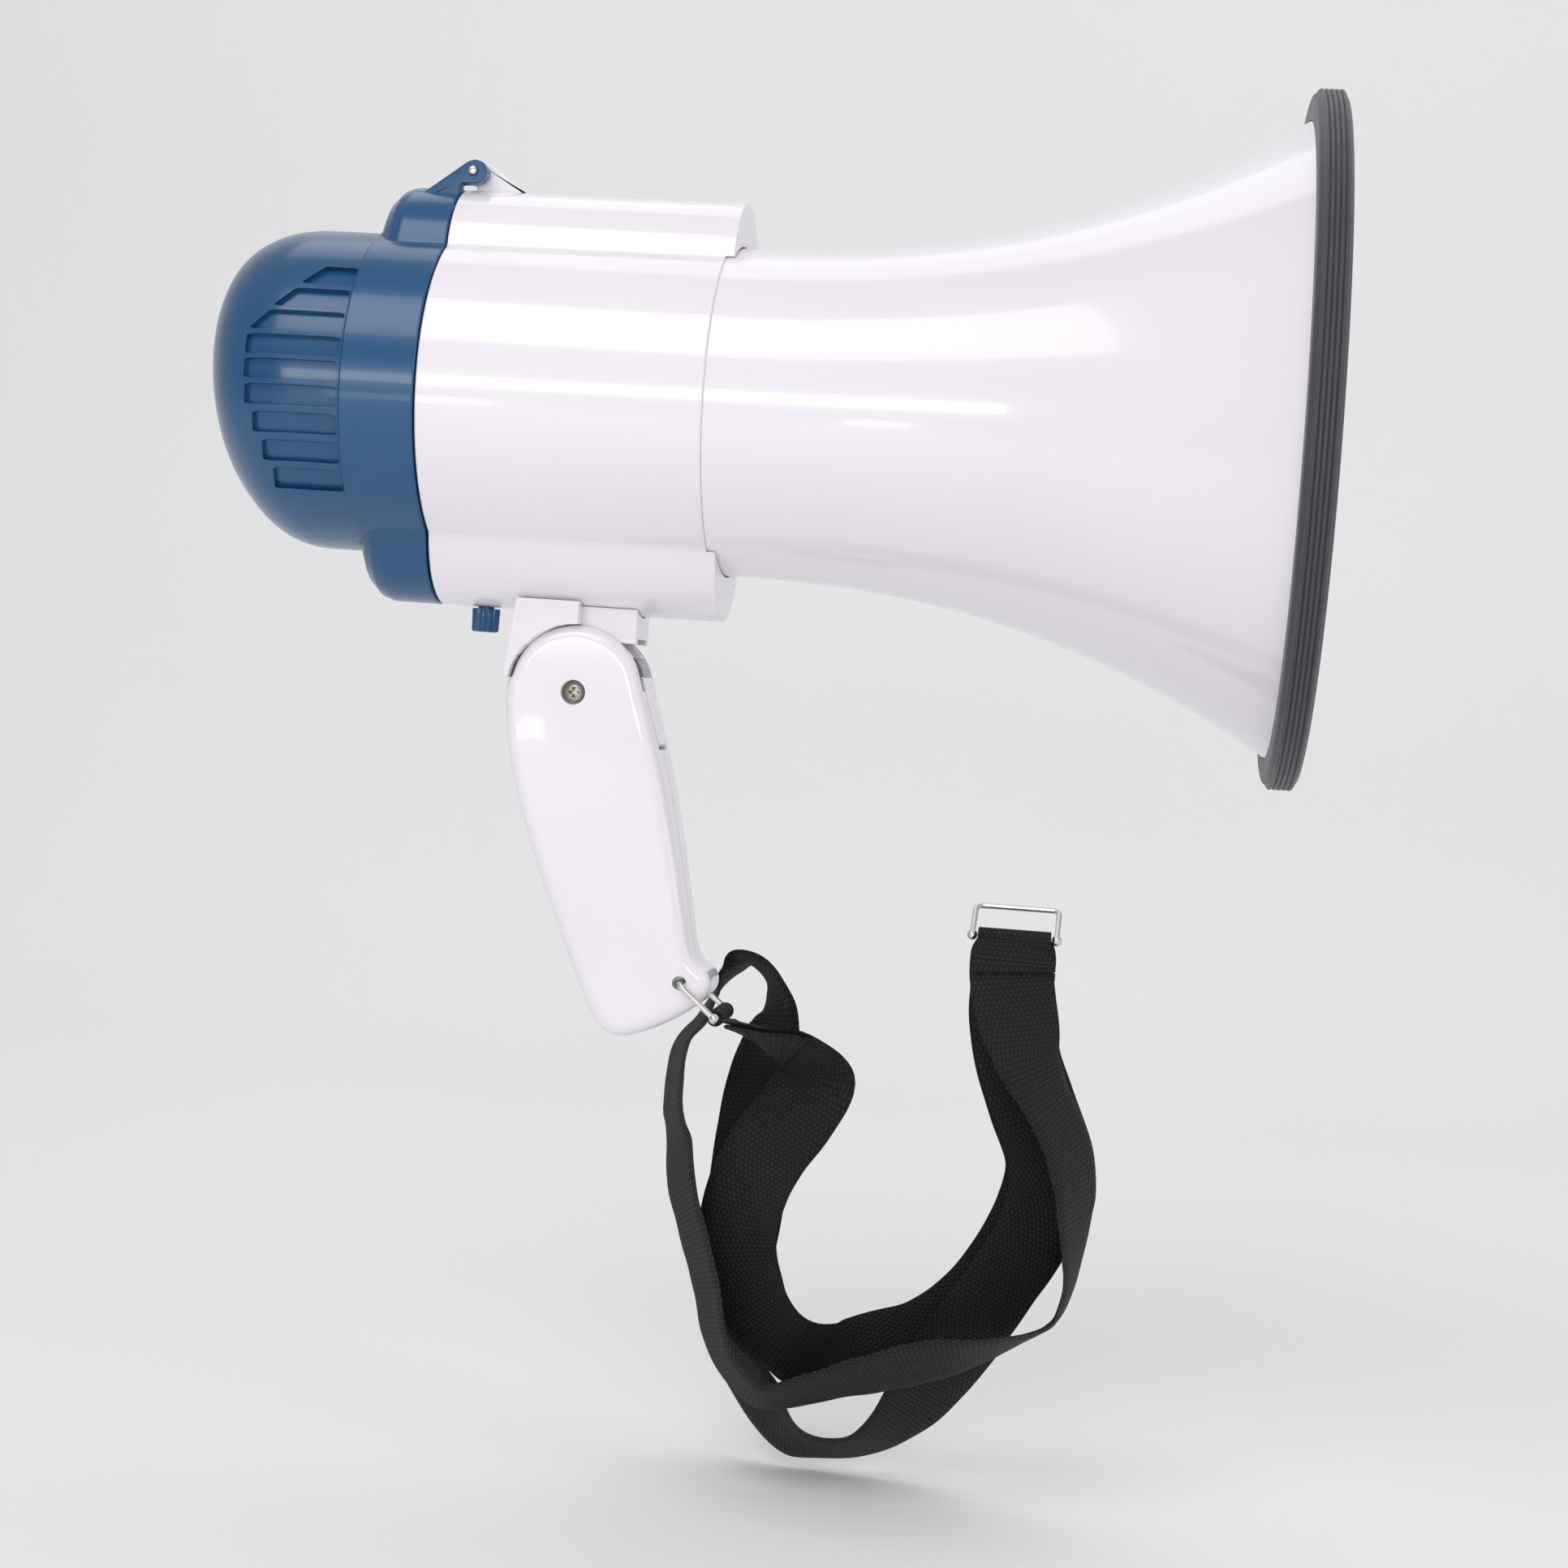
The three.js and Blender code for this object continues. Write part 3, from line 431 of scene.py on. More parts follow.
def webbing_material():
    """Cross-ribbed nylon: the UV map holds millimetres across and along the strip."""
    n = Nodes("webbing")
    uv = n.add("ShaderNodeUVMap")
    uv.uv_map = "woven"
    parts = n.add("ShaderNodeSeparateXYZ", Vector=uv.outputs[0])
    warp = n.math("SINE", n.math("MULTIPLY", parts.outputs[0], math.pi / COLUMN_PITCH))
    weft = n.math("SINE", n.math("MULTIPLY", parts.outputs[1], math.pi / RIB_PITCH))
    cell = n.math("MULTIPLY_ADD", n.math("MULTIPLY", warp, weft), 0.5, 0.5)
    rib = n.math("ABSOLUTE", weft)
    height = n.math("ADD", n.math("MULTIPLY", rib, 0.35), n.math("MULTIPLY", cell, 0.65))
    fuzz = n.noise(1500.0, 3.0)
    slow = n.noise(45.0, 3.0)
    # Both thread colour sets run from dark in the weave's hollows (painted shade) to light on its
    # raised threads (painted highlight); a slow noise mixes in the lighter, faded set at random.
    thread = n.mix(height, (0.0010, 0.0010, 0.0012), (0.0165, 0.0165, 0.0185))
    faded_with_painted_light = n.mix(height, (0.0016, 0.0016, 0.0018), (0.022, 0.022, 0.0245))
    n.surface(Base_Color=n.mix(n.ramp(slow, 0.0, 1.0, 0.35, 0.75), thread, faded_with_painted_light),
              Roughness=n.ramp(height, 0.92, 0.66, 0.0, 1.0), Sheen_Weight=0.04,
              Sheen_Roughness=0.5, Specular_IOR_Level=0.25)
    n.bump(n.math("MULTIPLY_ADD", fuzz, 0.22, height), 0.00035, 0.9)
    return n.material


WHITE = plastic("white plastic", (0.87, 0.835, 0.875), (0.84, 0.80, 0.85), 0.16, 0.45,
                grain=0.00001)
BLUE = plastic("blue plastic", (0.010, 0.086, 0.215), (0.008, 0.072, 0.185), 0.24, 0.2, 0.00035)
BLACK = plastic("black plastic", (0.018, 0.018, 0.02), (0.024, 0.024, 0.026), 0.45)
THROAT = plastic("grey plastic", (0.10, 0.10, 0.11), (0.12, 0.12, 0.13), 0.42)
CELL = plastic("cell sleeve", (0.30, 0.15, 0.05), (0.24, 0.12, 0.04), 0.3, 0.2)
BOARD = plastic("circuit board", (0.02, 0.16, 0.07), (0.03, 0.20, 0.09), 0.4)
CONE = plastic("cone film", (0.66, 0.60, 0.38), (0.60, 0.54, 0.33), 0.35)
STEEL = metal("plated steel", (0.76, 0.75, 0.73), 0.22, (1, 1, 8))
NICKEL = metal("dull nickel", (0.50, 0.46, 0.39), 0.3)
RIM = rubber("rim rubber", (0.040, 0.043, 0.052), (0.064, 0.067, 0.078))
FOAM = rubber("foam", (0.02, 0.02, 0.02), (0.03, 0.03, 0.03))
WEBBING = webbing_material()
THREAD = plastic("thread", (0.012, 0.012, 0.013), (0.02, 0.02, 0.022), 0.8)


def piece(name, mesh, body, material, *nodes, angle=32):
    """Makes one visible piece from a mesh, in place of its CAD nodes."""
    smooth(mesh, angle)
    mesh.name = name
    mesh.materials.clear()
    mesh.materials.append(material)
    for polygon in mesh.polygons:
        polygon.material_index = 0
    obj = add_object(name, mesh)
    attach(obj, body)
    if nodes:
        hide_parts(*nodes)
    weight = obj.modifiers.new("even normals", "WEIGHTED_NORMAL")
    weight.keep_sharp = True
    return obj


# ---- camera ----
def add_camera():
    right = Vector((0.99078966, 0.11777704, 0.06681629))
    ahead = Vector((-0.11686974, 0.99299582, -0.01734278))
    up = Vector((-0.06839088, 0.00937425, 0.99761456))
    camera = add_object("camera", bpy.data.cameras.new("camera"))
    turn = Matrix((right, up, -ahead)).transposed().to_4x4()
    camera.matrix_world = Matrix.Translation((0.12344, -0.62929, 0.04115)) @ turn
    camera.data.lens = 61.44
    camera.data.sensor_width = 36.0
    camera.data.shift_x = -0.0163
    camera.data.shift_y = -0.0314
    camera.data.clip_end = 20
    bpy.context.scene.camera = camera


add_camera()


# ---- strap ----
# The webbing's stations, as in the CAD: x, y, z in millimetres, then the direction of its
# width, as degrees round from +X towards +Z, and degrees that it leans to +Y.
STRAP_ROUTE = [
    # first pass: from the grip's bail, down, across and up
    (34, 0, -39, 60, -85), (44, -2, -42, 68, -70), (52, -2, -45, 50, -48), (56, 2, -51, 0, -12),
    (52, 2, -60, -32, -8), (46, 2, -69, -32, -8), (42, 1, -78, -20, -10), (40, 0, -89, -4, -12),
    (42, 0, -100, 10, -14), (47, -1, -109, 36, -20), (55, -1, -115, 64, -26),
    (64, 4, -118, 88, -20), (74, 7, -116, 102, -10), (86, 8, -112, 114, -8),
    (96, 8, -104, 130, -8), (104, 8, -93, 145, -8), (110, 8, -80, 160, -8), (112, 8, -67, 182, -8),
    (107, 8, -54, 197, -8), (103, 7, -43, 192, -11), (101, 6, -33, 184, -14),
    (101, 4.5, -25, 180, -14),
    # folded over at the top, down again in front
    (101, 3, -23, 180, -14), (101, 1.5, -25, 180, -14), (102, 1.5, -33, 184, -14),
    (104, 2, -43, 194, -14), (108, 2, -53, 198, -12), (112, 2, -63, 190, -12),
    (113, 2, -73, 172, -16), (110, 1, -84, 152, -24), (104, 1, -95, 145, -26),
    (98, 2, -105, 145, -24), (91, 6, -117, 144, -26), (84, 7, -128, 136, -38),
    (75, 6, -137, 112, -58), (66, 6, -140, 90, -62), (56, 8, -139, 64, -54),
    (48, 13, -133, 40, -46), (41, 15, -124, 20, -44), (38, 13, -113, 2, -34),
    (38, 11, -101, -8, -22), (40, 9, -87, -8, -15), (41, 9, -72, -8, -16), (42, 12, -58, -8, -19),
    (43, 16, -46, -9, -38), (44, 18, -37, 5, -58), (41, 20, -30, 40, -69), (35, 23, -27, 84, -76),
    (31, 24, -30, 130, -82),
    # round behind the grip's nose, down the rear side and forward in front
    (28, 24, -35, -35, -85), (25, 22, -41, -32, -81), (21, 16, -49, -20, -76),
    (21.5, 6.5, -60, -3, -70), (24, 3, -70, 4, -63), (26.5, -1.5, -80, 8, -60),
    (31, -4.5, -92, 14, -60), (34.5, -6, -102, 16, -60), (37, -7, -112, 20, -62),
    (41, -7.5, -119.5, 36, -62), (48, -8, -125.5, 68, -59), (54, -8, -125, 98, -58),
    (65, -9, -121, 104, -57), (76, -10, -117, 103, -50), (88, -10, -113, 101, -49),
    (100, -9, -110, 101, -62), (109, -6, -107, 110, -75), (116, -3, -103, 130, -82),
    (119, -2, -96, 160, -84), (120, -3, -88, 173, -78), (120, -5, -79, 179, -68),
    (119, -6, -69, 188, -62), (116, -7, -59, 200, -59), (111, -8, -50, 205, -57),
    (106, -7, -41, 200, -44), (103, -4, -32, 189, -20), (101, -2, -23, 183, -11),
    (101, -1.5, -16, 183, -11),
]


def strip_frame(route, steps):
    """Middle points, width vectors and faces' normals along the strip."""
    rows = np.array(route, float)
    turn, tilt = np.radians(rows[:, 3]), np.radians(rows[:, 4])
    width = np.stack([np.cos(tilt) * np.cos(turn), np.sin(tilt), np.cos(tilt) * np.sin(turn)], 1)
    middle, across = catmull(rows[:, :3], steps), catmull(width, steps)
    along = np.gradient(middle, axis=0)
    along /= np.linalg.norm(along, axis=1)[:, None]
    across -= np.sum(across * along, 1)[:, None] * along
    across /= np.linalg.norm(across, axis=1)[:, None]
    return middle, across, np.cross(along, across)


def strip_mesh(name, middle, across, face, width, thickness, tapered=(4.5, 4.5)):
    """A woven strip with rounded selvedges; its UV map is in millimetres."""
    length = np.concatenate([[0], np.cumsum(np.linalg.norm(np.diff(middle, axis=0), axis=1))])
    section = []
    for t in np.linspace(-1, 1, 11):
        section.append((t, math.sqrt(max(1 - abs(t) ** 14, 0.0)) * 0.5))
    loop = section + [(t, -h) for t, h in section[-2:0:-1]]
    rings = []
    for i in range(len(middle)):
        ends = (length[i], length[-1] - length[i])
        share = min(min(e / t, 1) if t else 1 for e, t in zip(ends, tapered))
        breadth = width * (END_SHARE + (1 - END_SHARE) * share * (2 - share))
        wave = 0.16 * math.sin(length[i] * 0.21) + 0.1 * math.sin(length[i] * 0.57 + 1.3)
        ring = []
        for t, h in loop:
            lift = h * thickness + wave * abs(t) ** 3 * (1 if t > 0 else -0.8)
            ring.append(tuple(middle[i] + across[i] * t * breadth / 2 + face[i] * lift))
        rings.append(ring)
    count = len(loop)
    points = [p for ring in rings for p in ring]
    faces = ring_faces(count, len(rings))
    marks = [[(k, i), (k + 1, i), (k + 1, i + 1), (k, i + 1)]
             for i in range(len(rings) - 1) for k in range(count)]
    mesh = bpy.data.meshes.new(name)
    mesh.from_pydata([tuple(c * MM for c in p) for p in points], [], faces)
    layer = mesh.uv_layers.new(name="woven")
    edge = [t * width / 2 for t, _ in loop] + [loop[0][0] * width / 2]
    index = 0
    for polygon in mesh.polygons:
        for corner in range(len(polygon.vertices)):
            if polygon.index < len(marks):
                k, i = marks[polygon.index][corner]
                layer.data[index].uv = (edge[k % len(edge)], length[i])
            index += 1
    with editing(mesh) as bm:
        bmesh.ops.recalc_face_normals(bm, faces=bm.faces)
    return mesh, length[-1]


END_SHARE = 0.87                    # the strip is this much narrower between a bail's balls


def stitch_row(place, direction, face, count, pitch, radius=0.22):
    """A row of short threads that lie on the cloth."""
    threads = []
    for k in range(count):
        centre = place + direction * (k - (count - 1) / 2) * pitch
        path = []
        for s in np.linspace(-1, 1, 7):
            path.append(centre + direction * s * pitch * 0.4 + face * 0.16 * (1 - s * s))
        threads.append(tube("thread", path, radius, 8))
    return threads


def bail_mesh(half, leg, radius, ball, place):
    """A wire bail: a bar with two legs that end in balls. It hangs along -Z, legs at +-Y."""
    corner = 1.7
    leg_line = [(-half, -leg + k * (leg - corner) / 6) for k in range(7)]
    leg_line += [(-half + corner * (1 - math.cos(a)), -corner * (1 - math.sin(a)))
                 for a in (math.pi / 2 * k / 6 for k in range(1, 7))]
    bar = [((half - corner) * (k / 5 - 1), 0) for k in range(1, 10)]
    path = [(0, y, z) for y, z in leg_line + bar + [(-y, z) for y, z in leg_line[::-1]]]
    parts = [tube("wire", [place @ Vector(p) for p in path], radius, 16)]
    for side in (-1, 1):
        parts.append(sphere(ball, place @ Vector((0, side * half, -leg))))
    return merged(*parts)


BAIL_HALF, BAIL_LEG, BAIL_WIRE, BALL_RADIUS = 9.9, 11.8, 0.7, 1.25
BAIL_SWING, END_LEAN = 50.0, 58.0
END_PIN = Vector(centre_mm("end_pin"))
strap_hole = Vector((PIVOT[0] + HOLE[0], 0, PIVOT[2] + HOLE[1]))
grip_place = Matrix.Translation(strap_hole) @ Matrix.Rotation(-math.radians(BAIL_SWING), 4, "Y")
end_place = (Matrix.Translation(END_PIN) @ Matrix.Rotation(-math.radians(END_LEAN), 4, "X")
             @ Matrix.Rotation(math.pi / 2, 4, "Z") @ Matrix.Translation((0, 0, BAIL_LEG)))
GRIP_PIN = grip_place @ Vector((0, 0, -BAIL_LEG))


def add_strap():
    route = STRAP_ROUTE + [(END_PIN.x, END_PIN.y, END_PIN.z - 0.4, 183, -11)]
    middle, across, face = strip_frame(route, 8)
    mesh, length = strip_mesh("webbing", middle, across, face, STRAP_WIDTH, STRAP_THICKNESS)
    strap = piece("strap_webbing_cloth", mesh, "strap", WEBBING, "strap_webbing", angle=60)
    half = BAIL_HALF - BALL_RADIUS - 0.1
    for name, pin, axis in (("grip", GRIP_PIN, "y"), ("end", END_PIN, "x")):
        centre = (pin.x, pin.z) if axis == "y" else (pin.y, pin.z)
        mid = pin.y if axis == "y" else pin.x
        sleeve = lathe("sleeve", rounded([(mid - half, 1.15), (mid - half, 2.0),
                                          (mid + half, 2.0), (mid + half, 1.15)], 0.4),
                       32, centre, axis)
        layer = sleeve.uv_layers.new(name="woven")
        for loop in sleeve.loops:
            p = sleeve.vertices[loop.vertex_index].co / MM
            around = math.atan2(p.z - pin.z, (p.x - pin.x) if axis == "y" else (p.y - pin.y))
            layer.data[loop.index].uv = (p.y if axis == "y" else p.x, around * 2.0)
        piece(f"strap_sleeve_{name}", sleeve, "strap", WEBBING, angle=50)
    # a short second layer is sewn down beside each sleeve
    front = -1.0 if face[-1][1] > 0 else 1.0
    ends = {"grip": (slice(2, 16), 1.0), "end": (slice(-16, None), front)}
    for name, (part, side) in ends.items():
        m, a, f = middle[part], across[part], face[part]
        lift = f * side * (STRAP_THICKNESS + 0.05)
        tapered = (0, 4.5) if name == "end" else (4.5, 0)
        lap, _ = strip_mesh("lap", m + lift, a, f, STRAP_WIDTH + 0.3, 1.1, tapered)
        piece(f"strap_lap_{name}", lap, "strap", WEBBING, angle=60)
        threads = []
        for row in (0.14, 0.2) if name == "end" else (0.35, 0.8):
            i = int(row * (len(m) - 1))
            for s in (-1, 1):
                out = f[i] * s * (STRAP_THICKNESS / 2 + (1.15 if s == side else 0.02))
                threads += stitch_row(m[i] + out, a[i], f[i] * s, 12, 1.55)
        piece(f"strap_stitches_{name}", merged(*threads), "strap", THREAD)
    size = (BAIL_HALF, BAIL_LEG, BAIL_WIRE, BALL_RADIUS)
    piece("strap_bail_wire", bail_mesh(*size, grip_place), "strap", STEEL, "strap_bail")
    piece("end_bail_wire", bail_mesh(*size, end_place), "end_bail", STEEL, "end_bail")


add_strap()


# ---- horn ----
def flare(x):
    return BARREL_RADIUS + FLARE_GAIN * max((x - SEAM_X) / FLARE_LENGTH, 0) ** FLARE_POWER


def flare_line(start, end, offset, count):
    xs = np.linspace(start, end, count)
    return [(x, flare(x) + offset) for x in xs]


def add_horn():
    edge = RIM_X - 2
    spigot = BARREL_RADIUS - WALL - GAP
    profile = [(SEAM_X - 8, spigot - WALL), (SEAM_X - 8, spigot), (SEAM_X - 0.1, spigot),
               (SEAM_X - 0.1, BARREL_RADIUS - 0.25), (SEAM_X + 0.15, BARREL_RADIUS)]
    profile += flare_line(SEAM_X + 1.5, edge, 0, 60)
    profile += flare_line(SEAM_X + 6, edge, -WALL, 50)[::-1]
    piece("horn_flare", lathe("horn", profile, 180), "housing", WHITE, "horn_bell")


def add_rim():
    """The rubber guard: five fine ribs round its edge, a rounded lip inside the mouth."""
    ribs = []
    start, pitch = RIM_BACK + 1.2, 1.12
    for i in range(5):
        x = start + i * pitch
        for k in range(7):
            a = math.pi * k / 6
            ribs.append((x + pitch * 0.5 * (1 - math.cos(a)) * 0.96, RIM_RADIUS - 0.62
                         + 0.6 * math.sin(a)))
    lip, slot = RIM_X - 5.2, RIM_X - 2 + GAP
    profile = [(RIM_BACK, flare(RIM_BACK) + GAP), (RIM_BACK, RIM_RADIUS - 2.4),
               (RIM_BACK + 0.3, RIM_RADIUS - 1.4), (RIM_BACK + 1.0, RIM_RADIUS - 0.9)]
    profile += ribs
    profile += [(RIM_X - 0.6, RIM_RADIUS - 1.0), (RIM_X - 0.15, RIM_RADIUS - 1.6),
                (RIM_X, RIM_RADIUS - 2.6), (RIM_X, flare(slot) - WALL - 1.8),
                (RIM_X - 0.5, flare(slot) - WALL - 2.4), (RIM_X - 1.4, flare(slot) - WALL - 2.7),
                (lip, flare(lip) - WALL - 1.8), (lip, flare(lip) - WALL - GAP),
                (slot, flare(slot) - WALL - GAP), (slot, flare(slot) + GAP)]
    piece("rim_guard_rubber", lathe("rim", profile, 200), "housing", RIM, "bell_rim_guard",
          angle=40)


def add_reflector():
    """The inner bell that turns the sound round, on three thin struts."""
    low, high = box_mm("horn_reflector")
    mouth, nose = low[0], high[0]
    radius, steps = 27.0, 24

    def cup(r, tip):
        return [(mouth + (tip - mouth) * math.sin(math.pi / 2 * i / steps),
                 r * math.cos(math.pi / 2 * i / steps) ** 0.7) for i in range(steps)] + [(tip, 0)]

    profile = cup(radius, nose) + cup(radius - WALL, nose - WALL)[::-1]
    body = lathe("cup", profile, 120)
    reach = flare(mouth + 4) - WALL - 0.9
    struts = []
    for angle in (90, 210, 330):
        outline = rounded([(mouth + 4, -1.2), (mouth + 14, -1.2), (mouth + 14, 1.2),
                           (mouth + 4, 1.2)], 1.1, 4)
        turn = Matrix.Rotation(math.radians(angle - 90), 3, "X")
        rings = []
        for level in np.linspace(radius - 3, reach, 4):
            ring = [turn @ Vector((x, y, level)) for x, y in outline]
            rings.append([(p.x, p.y, p.z + AXIS_Z) for p in ring])
        struts.append(loft("strut", rings))
    piece("reflector_cup", join(body, *struts), "housing", WHITE, "horn_reflector")
    low, high = box_mm("tone_tube")
    tube_radius = 12.0
    start = low[0]
    line = [(start, 8), (start, 33), (start + 2.5, 33), (start + 4.5, 22),
            (start + 6.5, tube_radius + 4), (start + 11, tube_radius + 1.2),
            (start + 17, tube_radius), (60, tube_radius + 0.4), (high[0] - 1.6, tube_radius + 2),
            (high[0], tube_radius + 2.0), (high[0], tube_radius),
            (start + 14.5, tube_radius - 2)]
    piece("tone_tube_wall", lathe("tube", line, 96), "housing", THROAT, "tone_tube")


add_horn()
add_rim()
add_reflector()


# ---- barrel, pods and cap share one lobed section ----
def lobed(angle, core, pod, fillet=0.9):
    """Radius at an angle from +Z of a round core with a pod above and one below."""
    lean = min(angle % math.pi, math.pi - angle % math.pi)
    reach = pod ** 2 - (POD_OFFSET * math.sin(lean)) ** 2 if pod > 0 else -1
    if reach <= 0:
        return core
    lobe = POD_OFFSET * math.cos(lean) + math.sqrt(reach)
    gap = lobe - core
    if fillet <= 0 or abs(gap) >= fillet:
        return max(core, lobe)
    return max(core, lobe) + (fillet - abs(gap)) ** 2 / (4 * fillet)


ANGLES = [2 * math.pi * k / 480 for k in range(480)]


def section(x, core, pod, fillet=0.9, lean=0.0):
    ring = []
    for angle in ANGLES:
        r = lobed(angle, core, pod, fillet)
        y, z = r * math.sin(angle), r * math.cos(angle)
        ring.append((x - lean * z, y, AXIS_Z + z))
    return ring


def add_housing():
    front = SEAM_X - GAP / 2
    edge = 0.3
    core, pod = BARREL_RADIUS, POD_RADIUS
    inner, inner_pod = core - WALL, pod - WALL
    rings = [section(BARREL_REAR_X, core - edge, pod - edge),
             section(BARREL_REAR_X + edge, core, pod)]
    rings += [section(x, core, pod) for x in np.linspace(BARREL_REAR_X + 4, front - 2, 8)]
    rings += [section(front - edge, core, pod), section(front, core - edge, pod - edge),
              section(front, inner, 0), section(front - WALL, inner, 0),
              section(front - WALL, inner, inner_pod, 0),
              section(BARREL_REAR_X, inner, inner_pod, 0)]
    body = loft("housing", rings, closed=True)
    # each pod stands forward of the barrel as a crescent
    for sign in (1, -1):
        crescent = []
        clear = core + GAP
        limit = math.acos((clear ** 2 + POD_OFFSET ** 2 - pod ** 2) / (2 * clear * POD_OFFSET))
        for x, inset in ((front - 1, 0), (POD_FRONT_X - 0.35, 0), (POD_FRONT_X - 0.1, 0.12),
                         (POD_FRONT_X, 0.4)):
            outer, under = [], []
            for k in range(61):
                a = -limit + 2 * limit * k / 60
                a *= 1 - inset / 24
                r = max(lobed(a, 0.1, pod - inset, 0), clear + inset * 0.3)
                outer.append((x, r * math.sin(a), AXIS_Z + sign * r * math.cos(a)))
                under.append((x, (clear + inset * 0.2) * math.sin(a),
                              AXIS_Z + sign * (clear + inset * 0.2) * math.cos(a)))
            crescent.append(outer + under[::-1][1:-1])
        body = join(body, loft("pod", crescent))
    fin = rounded([(HINGE[0], 48.2), (HINGE[0], 55.5), (-35.8, 55.5), (-25, 48.2)], 0.9, 5)
    body = join(body, prism(fin, -4.7, 4.7, 0.5, 3, (0, AXIS_Z)),
                rod("y", 2.8, -4.6, 4.6, HINGE[0], HINGE[2], 48))
    body = cut(body, rod("y", PIN_BORE, -8, 8, HINGE[0], HINGE[2], 32),
               rod("z", 2.4, AXIS_Z - 60, AXIS_Z - 40, KNOB[0], 0, 32))
    piece("housing_shell", body, "housing", WHITE, "body_housing")


KNOB = centre_mm("volume_knob")
CAP_SHOULDER = 0.6
CAP_LEAN = 0.1
CAP_GAPE = math.radians(0.22)        # the band's front edge stands open a little at its foot


def dome_radius(x, inset=0.0):
    """Radius of the cap's dome at a place along the horn's axis."""
    start = CAP_BAND_X - 12
    reach = start - CAP_REAR_X - inset
    radius = BARREL_RADIUS - CAP_SHOULDER - inset
    share = min(max((start - x) / reach, 0), 1)
    angle = math.asin(share ** (1 / 0.86))
    return radius * math.cos(angle) ** 0.86


def cap_lean(x):
    return CAP_LEAN * min(max((CAP_BAND_X - 6 - x) / 25, 0), 1)


def nose_radius(x, inset=0.0):
    """The pods' rear ends round off just behind the band."""
    r = POD_RADIUS - inset
    stops = [(CAP_BAND_X + 5.5 + inset, r), (CAP_BAND_X + 3 + inset, r - 0.9),
             (CAP_BAND_X + 0.5 + inset, r - 3.4), (CAP_BAND_X - 1.2 + inset, r - 7.2),
             (CAP_BAND_X - 2 + inset, r - 10.5), (CAP_BAND_X - 2.2 + inset, 0)]
    if x >= stops[0][0]:
        return r
    for (x0, r0), (x1, r1) in zip(stops, stops[1:]):
        if x >= x1:
            return r0 + (r1 - r0) * (x0 - x) / (x0 - x1)
    return 0


def cap_form(inset=0.0, open_front=False):
    front = BARREL_REAR_X - GAP
    xs = list(np.linspace(front - 2, CAP_BAND_X + 6, 5)) + list(
        np.linspace(CAP_BAND_X + 5, CAP_BAND_X - 2.3, 16))
    rings = []
    core = BARREL_RADIUS - inset
    if inset:
        rings.append(section(front + 1, core, POD_RADIUS - inset, 0))
    else:
        rings.append(section(front, core - 0.3, POD_RADIUS - 0.3))
        rings.append(section(front - 0.3, core, POD_RADIUS))
    for x in xs:
        step = CAP_SHOULDER if x < CAP_BAND_X - 0.4 else 0
        rings.append(section(x, core - step, nose_radius(x, inset), 0.7 if not inset else 0))
    tail = CAP_REAR_X + inset
    start = CAP_BAND_X - 12
    for k in range(1, 5):
        x = CAP_BAND_X - 2.3 + (start - CAP_BAND_X + 2.3) * k / 4
        rings.append(section(x, core - CAP_SHOULDER, 0, 0, cap_lean(x)))
    for k in range(1, 22):
        share = math.sin(math.pi / 2 * k / 22) ** 0.86
        x = start + (tail - start) * share
        r = (core - CAP_SHOULDER) * math.cos(math.pi / 2 * k / 22) ** 0.86
        rings.append(section(x, r, 0, 0, cap_lean(x)))
    return loft("cap", rings)


SLOT_DEPTH = 1.2
SLOT_ROWS = [23.4, 17.6, 12.0, 6.2, 0.6, -5.2, -11.4, -17.6, -23.6]


def slot_cutter(sign, z, half, rear, rear_top, front):
    """A shallow recess in the dome's side that follows its curve. The rear end may slant."""
    columns, rows = 14, 6
    corner = 0.5
    grid = []
    for i in range(columns + 1):
        line = []
        for k in range(rows + 1):
            v = -1 + 2 * k / rows
            back = rear + (rear_top - rear) * (v + 1) / 2
            x = back + (front - back) * i / columns
            near_end = min(x - back, front - x)
            h = half - (corner - near_end if near_end < corner else 0) * 0.6
            line.append((x, z + v * h))
        grid.append(line)
    points, faces = [], []
    for level in (0, 1):
        for line in grid:
            for x, height in line:
                true_x = x + cap_lean(x) * height
                r = dome_radius(true_x, 0) - SLOT_DEPTH
                y = math.sqrt(max(r * r - height * height, 1.0)) if level == 0 else 60.0
                points.append((x, sign * y, AXIS_Z + height))
    n = rows + 1
    total = (columns + 1) * n

    def at(i, k, level):
        return level * total + i * n + k

    for i in range(columns):
        for k in range(rows):
            for level in (0, 1):
                faces.append((at(i, k, level), at(i + 1, k, level), at(i + 1, k + 1, level),
                              at(i, k + 1, level)))
    for i in range(columns):
        for k in (0, rows):
            faces.append((at(i, k, 0), at(i + 1, k, 0), at(i + 1, k, 1), at(i, k, 1)))
    for k in range(rows):
        for i in (0, columns):
            faces.append((at(i, k, 0), at(i, k + 1, 0), at(i, k + 1, 1), at(i, k, 1)))
    return make_mesh("slot", points, faces)


